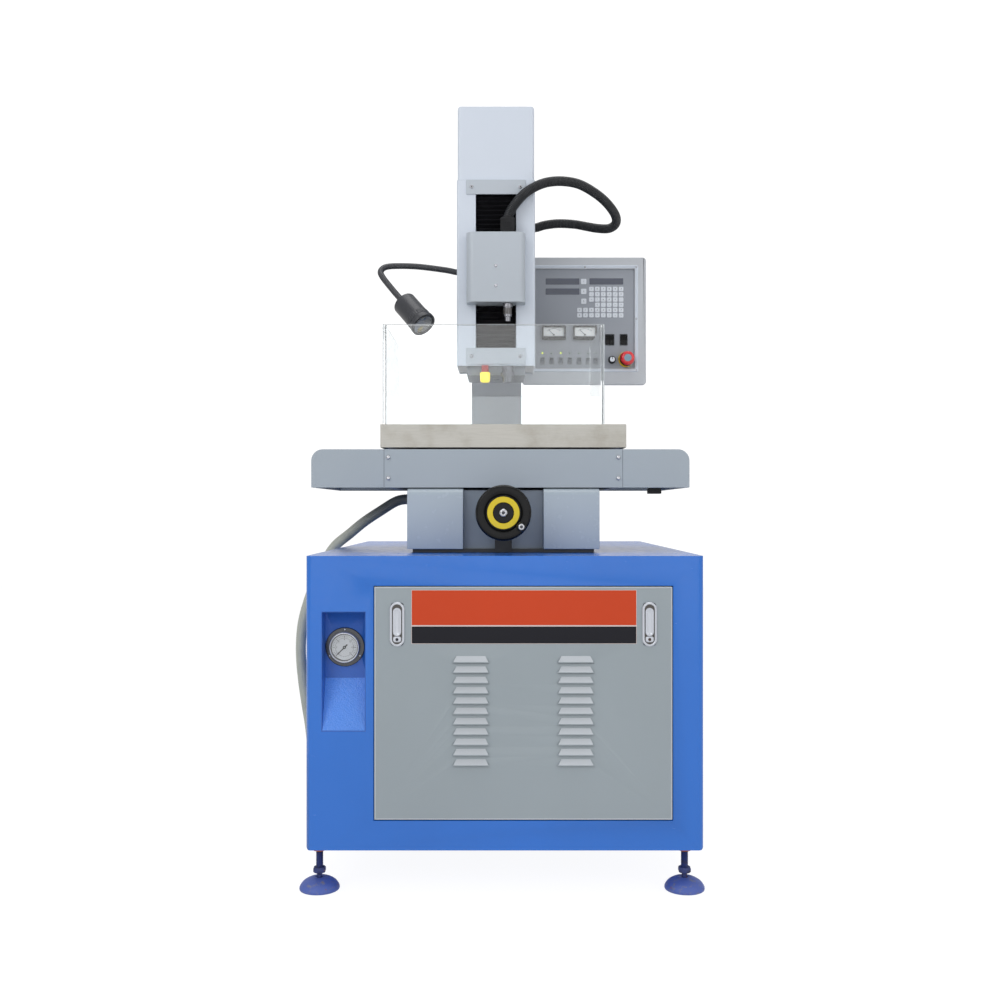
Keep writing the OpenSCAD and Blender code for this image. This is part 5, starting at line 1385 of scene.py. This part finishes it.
@dataclass
class Stage:
    """Bed, X-Y stage, handwheel, worktable and its clear guard."""

    wheel_x: float = -3.0
    wheel_z: float = 837.0
    wheel_d: float = 62.0
    crank_r: float = 50.0
    crank_d: float = 40.0
    crank_angle: float = -38.0
    cover_x: Pair = (-228.0, 91.0)
    cover_d: float = 427.5
    cover_z: float = 823.0
    cover_size: Pair = (525.0, 142.0)
    cover_r: tuple[float, ...] = (6.0, 18.0, 1.5, 1.5)
    stop_at: Point = (357.0, 204.6, 889.0)
    stop_size: Pair = (30.6, 14.2)
    front_d: float = 175.0
    seam_x: Pair = (-283.0, 277.0)
    seam_z: float = 941.0
    seam_size: Pair = (1.2, 88.0)
    screw_x: Pair = (-273.0, 267.0)
    screw_z: Pair = (967.0, 918.0)
    guard: tuple[Pair, ...] = ((-287.5, 235.5), (190.0, 520.0), (1047.0, 1282.0))

    def sheet_metal(self) -> None:
        """Painted covers and castings with softened edges, the stop block and the covers' seams."""
        softened("bed", 0.8, "frame", BED_GREY)
        sides = [(1.2, 0), (0, 1.2), (0, 129.8), (1.2, 131)]
        covers = joined(slab(place(x, self.cover_d, self.cover_z), self.cover_size, self.cover_r, sides,
                             Facing.RIGHT) for x in self.cover_x)
        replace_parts(piece("bed_sleeves", covers, "frame", COVER_GREY), "bed_covers")
        stop = slab(place(*self.stop_at), self.stop_size, 2, [(0, -26.8), (0, 0), (0.8, 0.8)], corner=3)
        piece("stage_stop", stop, "saddle", BLACK_SATIN)
        softened("stage_covers", 0.8, "saddle", STAGE_GREY)
        softened("saddle", 1.0, "saddle", CAST_IRON)
        softened("worktable", 1.0, "table", GROUND)
        softened("guard", 0.6, "table", ACRYLIC)
        line = [(0, -0.3), (0, 0.2)]
        seams = joined(slab(place(x, self.front_d, self.seam_z), self.seam_size, 0.3, line, corner=1)
                       for x in self.seam_x)
        piece("stage_seams", seams, "saddle", SEAM_GREY)
        softened("screw_bracket", 1.0, "frame", BLACK_CAST)
        wear("y_screw", TURNED)
        wear("x_screw", TURNED)

    def sheet_edge_highlights(self) -> None:
        """Pale strips on the guard's cut edges, a painted highlight: two uprights in front, two behind, and
        three rims.
        """
        (x0, x1), (d0, d1), (z0, z1) = self.guard
        strip = [(0, -0.6), (0, 0.15)]
        edges = []
        for x in (x0 + 1, x1 - 1):
            edges += [slab(place(x, d, (z0 + z1) / 2), (2.0, z1 - z0 - 1), 0.6, strip, corner=2)
                      for d in (d0, d1 - 1)]
            edges.append(slab(place(x, (d0 + d1) / 2, z1), (1.6, d1 - d0 - 2), 0.5, strip, Facing.TOP, 2))
        edges.append(slab(place((x0 + x1) / 2, d0 + 1, z1), (x1 - x0 - 4, 1.2), 0.4, strip, Facing.TOP, 2))
        piece("guard_edge_highlights", joined(edges), "table", EDGE_HIGHLIGHT_CLEAR)

    def handwheel(self) -> None:
        """Turned wheel with a groove, a yellow ring, a domed nut and a rolled rim."""
        at = place(self.wheel_x, self.wheel_d, self.wheel_z)
        wheel = eased([(9, 0.2), (40, 0.2), (44, 2), (56, 2), (61, 0.6), (62.5, 5), (62.5, 17), (58.5, 21.8),
                       (50, 22), (43, 21.2), (41.2, 18.6), (40.6, 18.6), (38.8, 21.0), (36.4, 21.4),
                       (36.2, 20.6), (23.4, 20.6), (23.2, 21.6), (21, 22), (9.6, 22), (9.2, 21)], 2.0, 3)
        band = [(23.5, 20.4), (36, 20.4), (36, 22.2), (35.4, 22.8), (24.1, 22.8), (23.5, 22.2)]
        nut = eased([(9.6, 20), (9.6, 24.4), (6.5, 27), (3.2, 27), (2.6, 24.6), (0.3, 24.6)], 1.4, 3)
        rim = piece("handwheel_rim", lathe(at, FORWARD, wheel, 96), "handwheel", BLACK_GLOSS)
        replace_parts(rim, "handwheel")
        piece("handwheel_band", turned_ring(at, FORWARD, band, 96), "handwheel", RING_YELLOW)
        piece("handwheel_nut", lathe(at, FORWARD, nut, 40), "handwheel", CHROME)
        socket = hexagon(at, FORWARD, 5.6, 24.4, 27.1, 0.1)
        piece("handwheel_socket", socket, "handwheel", INK)

    def crank(self) -> None:
        """Black turned grip with a bright screw in its end."""
        a = math.radians(self.crank_angle)
        at = place(self.wheel_x + self.crank_r * math.cos(a), self.crank_d,
                   self.wheel_z + self.crank_r * math.sin(a))
        grip = eased([(5, 0.1), (10.6, 0.1), (11, 4), (8.4, 12), (8.0, 22), (10.4, 31), (9.6, 35.6), (5, 36)],
                     3.0, 4)
        screw = eased([(7, 34.6), (7, 36.6), (5.6, 37.8), (3, 37.8), (2.6, 36.2), (0.3, 36.2)], 0.8, 3)
        turned = piece("crank_grip", lathe(at, FORWARD, grip, 48), "crank_knob", BLACK_GLOSS)
        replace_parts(turned, "crank_knob")
        piece("crank_screw", lathe(at, FORWARD, screw, 32), "crank_knob", CHROME)
        socket = hexagon(at, FORWARD, 4.6, 36.0, 38.0, 0.1)
        piece("crank_socket", socket, "crank_knob", INK)

    def screws(self) -> None:
        """Socket screws in the stage's front plate."""
        heads = joined(screw_head(place(x, self.front_d - 2, z), 9.4, 2.0)
                       for x in self.screw_x for z in self.screw_z)
        piece("stage_screws", heads, "saddle", CHROME)

    def build(self) -> None:
        """All of the stage."""
        self.sheet_metal()
        self.sheet_edge_highlights()
        self.handwheel()
        self.crank()
        self.screws()


@dataclass
class Head:
    """Column, head, carriage, bellows, chuck, guide, indicator light and work lamp."""

    x: float = -22.0
    axis_x: float = 8.0
    axis_d: float = 418.0
    slot_w: float = 100.0
    pleat_d: float = 444.6
    pleat_depth: float = 9.5
    bellows_d: float = 445.0
    cloth_thickness: float = 1.2
    strips: tuple[tuple[str, float, float, int], ...] = (("bellows_upper", 1554.6, 1687, 11),
                                                         ("bellows_lower", 1374.4, 1229, 12))
    seam_d: float = 525.0
    seam_z: float = 1698.6
    seam_size: Pair = (200.2, 164.6)
    cross_z: Pair = (1680.5, 1242.0)
    cross_w: float = 154.4
    cross_h: Pair = (37.4, 42.4)
    cross_d: float = 437.2
    cross_screws: Pair = (-63.0, 63.0)
    screw_d: float = 435.4
    cover_screws: Pair = (1467.0, 1416.0)
    cover_d: float = 395.0
    gland_d: float = 399.8
    gland_z: float = 1572.2
    gland_size: Pair = (37.0, 36.8)
    collar_z: float = 1590.6
    knurl_z: float = 1344.0
    knurl_r: float = 10.7
    signal_x: float = -50.0
    signal_d: float = 439.0
    block_z: float = 1199.2
    block_size: Pair = (18.4, 22.4)
    lens_z: float = 1173.0
    arm_r: float = 8.0
    arm_step: float = 0.6
    arm_pitch: float = 2.4
    arm_groove: float = 0.35
    lamp_route: tuple[Point, ...] = (
        (-123.5, 520, 1478), (-131, 520, 1478), (-150, 520, 1482), (-180, 518, 1486), (-219, 514, 1490),
        (-248, 509, 1491), (-277, 502, 1490), (-303, 493, 1487), (-318, 485, 1481), (-325, 476, 1469),
        (-319, 466, 1453), (-298, 454, 1425), (-276, 442, 1398), (-262, 430, 1382))
    lamp_aim: Point = (57, -47, -69)

    def sheet_metal(self) -> None:
        """Painted covers, column and frame, the top cover's seam, and the motor and screw inside."""
        softened("column", 1.2, "frame", COLUMN_GREY)
        softened("head_frame", 0.8, "frame", COLUMN_GREY)
        softened("head_cover", 0.6, "frame", HEAD_GREY)
        softened("top_cover", 0.8, "frame", HEAD_GREY)
        softened("head_base", 0.8, "frame", BASE_GREY)
        softened("carriage", 0.7, "carriage", PLATE_GREY)
        line = [(0, 0), (0, 1.3)]
        seam = slab(place(self.x, self.seam_d, self.seam_z), self.seam_size, 8, line, Facing.TOP)
        piece("cover_seam", seam, "frame", SEAM_GREY)
        wear("z_motor", BLACK_SATIN)
        wear("z_screw", TURNED)

    def screws(self) -> None:
        """Socket screws in the cross plates and the carriage cover."""
        heads = joined(screw_head(place(self.x + x, self.screw_d, z), 9.4, 2.0)
                       for x in self.cross_screws for z in self.cross_z)
        piece("cross_screws", heads, "frame", CHROME)
        edge = [(0, -2.6), (0, 0), (0.4, 0.4)]
        plates = joined(slab(place(self.x, self.cross_d, z), (self.cross_w, h), 1.5, edge, corner=3)
                        for z, h in zip(self.cross_z, self.cross_h))
        piece("cross_plates", plates, "frame", PLATE_GREY)
        front = joined(screw_head(place(self.x, self.cover_d, z), 8, 1.8) for z in self.cover_screws)
        piece("carriage_screws", front, "carriage", CHROME)

    def pleated(self, low: float, high: float, pleats: int) -> Surface:
        """A pleated strip: a rounded zigzag of depth in front, and the back runs along it.

        Args:
            low: height of its lower end.
            high: height of its upper end.
            pleats: how many pleats it has.

        Returns:
            The closed surface.
        """
        z = np.linspace(low, high, pleats * 8 + 1)
        fold = np.abs(2 * ((z - low) / (high - low) * pleats % 1) - 1) ** 0.8
        front = self.pleat_d + self.pleat_depth * fold
        half, back = self.slot_w / 2, front + self.cloth_thickness
        edges = [np.stack([np.full_like(z, self.x + CENTRE_X + sx), d + FRONT_Y, z], -1)
                 for sx, d in ((-half, front), (half, front), (half, back), (-half, back))]
        return skin(np.stack(edges, 1) * MM)

    def bellows(self) -> None:
        """Upper and lower bellows, each a pleated strip between its moving and its fixed end."""
        for name, moving, fixed, pleats in self.strips:
            strip = self.pleated(min(moving, fixed), max(moving, fixed), pleats)
            obj = piece(name, strip, "", BELLOWS_CLOTH, 25)
            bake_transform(obj)
            if name == "bellows_upper":
                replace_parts(obj, "bellows")

    def gland(self) -> None:
        """Moulded gland block with a sunk square in its front and a clamp collar round the conduit."""
        block = slab(place(self.axis_x, self.gland_d, self.gland_z), self.gland_size, 3,
                     [(0, -36.4), (0, 0), (1.0, 1.0), (11.5, 1.0), (12.0, 0.3)], corner=4)
        clamp = eased([(13.2, -1), (17, -1), (17.4, 4), (15.5, 6), (13.2, 6)], 1, 2)
        collar = turned_ring(place(self.axis_x, self.axis_d, self.collar_z), UP, clamp, 40)
        piece("gland_collar", collar + block, "carriage", BLACK_SATIN)

    def chuck(self) -> None:
        """Stepped chuck with a knurled collar, and the guide under the head."""
        wear("spindle", CHUCK)
        grips = rounds([knurled(self.knurl_r, 18, 72)] * 5, np.linspace(2, 18, 5), 72)
        ring = skin(place(self.axis_x, self.axis_d, self.knurl_z) + grips * MM)
        piece("chuck_knurl", ring, "spindle", KNURL)
        wear("electrode_guide", GUIDE_STEEL)

    def signal(self) -> None:
        """Red block and glowing yellow lens of the indicator light."""
        side = [(0, 0), (0, 17.4), (1, 18)]
        at = place(self.signal_x, self.signal_d, self.block_z)
        block = slab(at, self.block_size, 2.5, side, Facing.TOP, 4)
        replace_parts(piece("signal_block", block, "frame", LIGHT_RED), "indicator_light")
        dome = eased([(1, 0.2), (9.5, 0.4), (12.4, 4), (13, 12), (13, 26.2), (9, 26.2)], 3, 4)
        lens = lathe(place(self.signal_x, self.signal_d, self.lens_z), UP, dome, 40)
        piece("signal_lens", lens, "frame", LIGHT_LENS)

    def lamp(self) -> None:
        """Flexible arm with fine rings, and a lamp head with a knurled ring, reflector and lens."""
        path = smooth_path(self.lamp_route, self.arm_step)
        gone = np.arange(len(path)) * self.arm_step
        radii = self.arm_r - self.arm_groove * (0.5 - 0.5 * np.cos(2 * math.pi * gone / self.arm_pitch))
        radii[[0, -1]] = self.arm_r
        arm = piece("lamp_gooseneck", tube(path, radii, 28), "frame", LAMP_BLACK, 50)
        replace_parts(arm, "lamp_arm")
        at, axis = place(*self.lamp_route[-1]), self.lamp_aim
        shell = eased([(2, 0.3), (22.8, 0.3), (25, 3), (31, 7.5), (31, 90.8), (33.5, 91), (33.5, 101),
                       (27, 101), (26, 95), (2, 93)], 1.8, 3)
        head = piece("lamp_shell", lathe(at, axis, shell, 72), "frame", LAMP_BLACK)
        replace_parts(head, "lamp_head")
        grips = [knurled(31.2 + rise, 36, 144) for rise in (-0.4, 0.5, 0.5, -0.4)]
        knurl = rounds(grips, [70, 71, 84, 85], 144)
        piece("lamp_knurl", about(at, axis, knurl), "frame", LAMP_BLACK)
        cup = lathe(at, axis, [(26.6, 93.2), (26.6, 97), (18, 94.6), (8, 93.6), (1, 93.5)], 48)
        piece("lamp_reflector", cup, "frame", CHROME)
        lens = lathe(at, axis, [(26.8, 97.4), (26.8, 98.8), (1, 99.4)], 48)
        piece("lamp_lens", lens, "frame", GLASS)

    def build(self) -> None:
        """All of the head."""
        self.sheet_metal()
        self.screws()
        self.bellows()
        self.gland()
        self.chuck()
        self.signal()
        self.lamp()


@dataclass
class ControlBox:
    """Control box with its panel, all placed from the window's upper left corner."""

    window_x: float = 90.3
    window_z: float = 1541.4
    window_d: float = 770.0
    window_middle: Pair = (143.5, 144.0)
    bead_size: Pair = (308.0, 309.0)
    bead_out: float = 5.0
    screw_at: tuple[Pair, ...] = ((-6, -6), (293, -6), (-6, 294), (293, 294), (143.5, -6), (293, 144))
    screw_out: float = 5.6
    display_size: Pair = (97.6, 17.4)
    displays: tuple[Pair, ...] = ((30.4, 26.9), (30.4, 56), (157.5, 26.6))
    key_rows: tuple[tuple[int, int], ...] = ((2, 7), (2, 7), (2, 7), (3, 7), (0, 7), (0, 7))
    key_from: Pair = (128.0, 57.3)
    key_pitch: Pair = (17.25, 15.25)
    key_size: Pair = (13.6, 13.0)
    side_key: Pair = (140.2, 35.6)
    side_pitch: float = 28.7
    side_size: Pair = (15.6, 15.6)
    legends: tuple[str, ...] = ("+X7894", "-Y1235", "=/60+.", "C.<>=", "01234567", "89-+/()=")
    meter_u: Pair = (53.4, 143.5)
    meter_v: float = 165.4
    meter_face: Pair = (59.6, 26.1)
    face_drop: float = 17.25
    pivot_drop: float = 25.5
    meter_out: float = 2.0
    meter_stretch: float = 1.25
    meter_sweep: tuple[int, int] = (140, 40)
    meter_ticks: int = 10
    mode_u: tuple[float, ...] = tuple(20.3 + 26.6 * i for i in range(7))
    mode_v: float = 266.0
    mode_frame: Pair = (13.7, 19.8)
    mode_lamp_v: float = 243.6
    lit: tuple[int, int] = (0, 2)
    power_v: float = 204.5
    power_frames: tuple[Pair, ...] = ((215.6, 26.8), (256.2, 22.1))
    power_h: float = 32.3
    knob_at: Pair = (221.8, 263.2)
    stop_at: Pair = (264.9, 260.6)
    collar_at: Pair = (262.9, 261.6)

    def at(self, u: float, v: float, out: float = 0.0) -> Array:
        """A point of the panel: u right of and v below the window's corner, and out in front of the panel."""
        return place(self.window_x + u, self.window_d - out, self.window_z - v)

    def case(self) -> None:
        """Painted box and the rolled bead round the panel window."""
        softened("control_box", 2.2, "frame", BOX_GREY, 3)
        roll = [(0, -0.6), (0, 0.2), (0.8, 1.4), (2.2, 2.0), (5.2, 0.9), (9.2, -0.4), (10.2, -2.6),
                (9.0, -2.6)]
        bead = frame_ring(self.at(*self.window_middle, self.bead_out), self.bead_size, 4, roll, 4)
        piece("window_bead", bead, "frame", HEAD_GREY)
        screws = joined(screw_head(self.at(u, v, self.screw_out), 6, 1.5) for u, v in self.screw_at)
        piece("bead_screws", screws, "frame", TURNED)

    def panel(self) -> None:
        """Panel film and tinted display windows."""
        wear("faceplate", PANEL_GREY)
        edge = [(0, -0.7), (0, 0.1), (0.25, 0.3)]
        windows = joined(slab(self.at(u + 48.5, v + 8.4, 0.6), self.display_size, 1.2, edge, corner=3)
                         for u, v in self.displays)
        piece("display_windows", windows, "frame", DISPLAY)

    def keys(self) -> None:
        """Raised keys with rounded edges and plain dark numerals and signs."""
        (u, v), (across, down), (side_u, side_v) = self.key_from, self.key_pitch, self.side_key
        caps = [(u + across * c, v + down * r, self.key_size, legend[i % len(legend)], 4.6)
                for r, ((first, last), legend) in enumerate(zip(self.key_rows, self.legends))
                for i, c in enumerate(range(first, last + 1))]
        caps += [(side_u, side_v + self.side_pitch * i, self.side_size, str(i + 1), 5.4) for i in range(3)]
        raised = [(0, -0.2), (0, 0.9), (0.5, 1.5)]
        keys = joined(slab(self.at(u, v), size, 2.4, raised, corner=3) for u, v, size, _, _ in caps)
        marks = joined(lettering(text, self.at(u, v, 1.56), height) for u, v, _, text, height in caps)
        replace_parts(piece("panel_keys", keys, "frame", KEY_WHITE), "keypad_keys")
        piece("panel_key_marks", marks, "frame", INK)

    def meters(self) -> None:
        """Panel meters: dark case, pale face with an arc and ticks, and a pointer."""
        wear("meter_cases", BLACK_GLOSS)
        faces, marks = [], []
        for u in self.meter_u:
            middle = self.at(u, self.meter_v + self.face_drop, self.meter_out)
            faces.append(slab(middle, self.meter_face, 1, [(0, -0.4), (0, 0.2), (0.1, 0.3)], corner=2))
            pivot = self.at(u, self.meter_v + self.pivot_drop, self.meter_out)
            first, last = self.meter_sweep
            a = np.linspace(math.radians(first), math.radians(last), 41)
            arc = np.concatenate([np.stack([r * np.cos(a) * self.meter_stretch, r * np.sin(a)], -1)
                                  for r in (17.5, 18.1)])
            line = oriented(np.column_stack([arc, np.full(len(arc), 0.4)]), pivot, Facing.FRONT)
            marks.append(Surface(line, grid_faces(2, len(a), wrap_cols=False).tolist()))
            step = (first - last) / self.meter_ticks
            marks += [tick(pivot, math.radians(first - step * k), 17.8, 20.6 if k % 5 else 21.6, 0.28, 0.4,
                           self.meter_stretch) for k in range(self.meter_ticks + 1)]
        piece("meter_faces", joined(faces), "frame", METER_WHITE)
        piece("meter_marks", joined(marks), "frame", INK)
        wear("meter_needle_left", INK)
        wear("meter_needle_right", INK)

    def switches(self) -> None:
        """Rockers in their frames, with lamps above the small ones."""
        for i in range(1, 4):
            softened(f"power_rocker_{i}", 0.4, f"power_rocker_{i}", BLACK_GLOSS)
        for i in range(1, 8):
            softened(f"mode_rocker_{i}", 0.4, f"mode_rocker_{i}", SWITCH_GREY)
        rim = [(0, -0.3), (0, 1.2), (0.4, 1.8), (1.3, 1.8), (1.7, 1.2), (1.7, -0.3)]
        power = joined(frame_ring(self.at(u, self.power_v), (w, self.power_h), 1.5, rim, 3)
                       for u, w in self.power_frames)
        piece("power_frames", power, "frame", BLACK_GLOSS)
        mode = joined(frame_ring(self.at(u, self.mode_v), self.mode_frame, 1.2, rim, 3)
                      for u in self.mode_u)
        piece("mode_frames", mode, "frame", SWITCH_GREY)
        dome = eased([(2.6, -0.2), (2.6, 1.4), (1.8, 2.6), (0.3, 3.0)], 1, 3)
        lamps = [lathe(self.at(u, self.mode_lamp_v), FORWARD, dome, 20) for u in self.mode_u]
        lit = [lamps[i] for i in self.lit]
        dim = [lamp for i, lamp in enumerate(lamps) if i not in self.lit]
        piece("mode_lamps_lit", joined(lit), "frame", LED_LIT)
        piece("mode_lamps_dim", joined(dim), "frame", LED_OFF)

    def knob(self) -> None:
        """Black fluted selector knob with a pale cap and a dark pointer line."""
        u, v = self.knob_at
        at = self.at(u, v, 1)
        flute = 0.35 * (0.5 + 0.5 * np.cos(angles(96) * 16))
        rows = [(11.2, 0.1), (11.4 - flute, 1), (11.0 - flute, 6), (10.2 - flute, 15), (9.4, 16), (0.4, 16)]
        grip = about(at, FORWARD, rounds([r for r, _ in rows], [h for _, h in rows], 96))
        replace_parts(piece("knob_body", grip, "selector_knob", BLACK_GLOSS), "selector_knob")
        cap = lathe(at, FORWARD, eased([(7.4, 15.6), (7.4, 16.6), (6.6, 17.2), (0.3, 17.3)], 0.6, 2), 40)
        piece("knob_cap", cap, "selector_knob", KEY_WHITE)
        line = slab(self.at(u, v - 4, 18.3), (1.8, 6.4), 0.4, [(0, -0.5), (0, 0.1)], corner=2)
        piece("knob_line", line, "selector_knob", INK)

    def stop(self) -> None:
        """Mushroom head with a turned edge and a disc, over a yellow collar a little to its left."""
        at = self.at(*self.stop_at)
        skirt = eased([(11, 0.1), (22.6, 0.1), (23, 7), (21.6, 10), (11, 10)], 1.2, 3)
        collar = turned_ring(self.at(*self.collar_at), FORWARD, skirt)
        piece("stop_collar", collar, "frame", YELLOW)
        cap = eased([(9, 16.1), (17.5, 16.1), (20.5, 20.0), (20.3, 25.5), (17, 30.4), (11.4, 31.8),
                     (11, 31.2), (0.5, 31.2)], 2.4, 4)
        head = lathe(at, FORWARD, cap, 64) + lathe(at, FORWARD, [(7.9, -10), (7.9, 17)], 32)
        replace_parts(piece("stop_head", head, "e_stop", RED), "e_stop")
        disc = lathe(at, FORWARD, [(10.6, 31.0), (10.6, 31.6), (10.2, 31.9), (0.3, 31.9)], 48)
        piece("stop_disc", disc, "e_stop", STOP_DISC)

    def build(self) -> None:
        """All of the control box."""
        self.case()
        self.panel()
        self.keys()
        self.meters()
        self.switches()
        self.knob()
        self.stop()


def main() -> None:
    """Builds the studio, then the cords, then the machine from the floor up."""
    logging.basicConfig(level=logging.INFO, format="%(name)s: %(message)s")
    Studio().build()
    Hoses().build()
    Cabinet().build()
    Gauge().build()
    Stage().build()
    Head().build()
    ControlBox().build()
    wear("hose_fittings", ALUMINIUM)


if __name__ == "__main__":
    main()
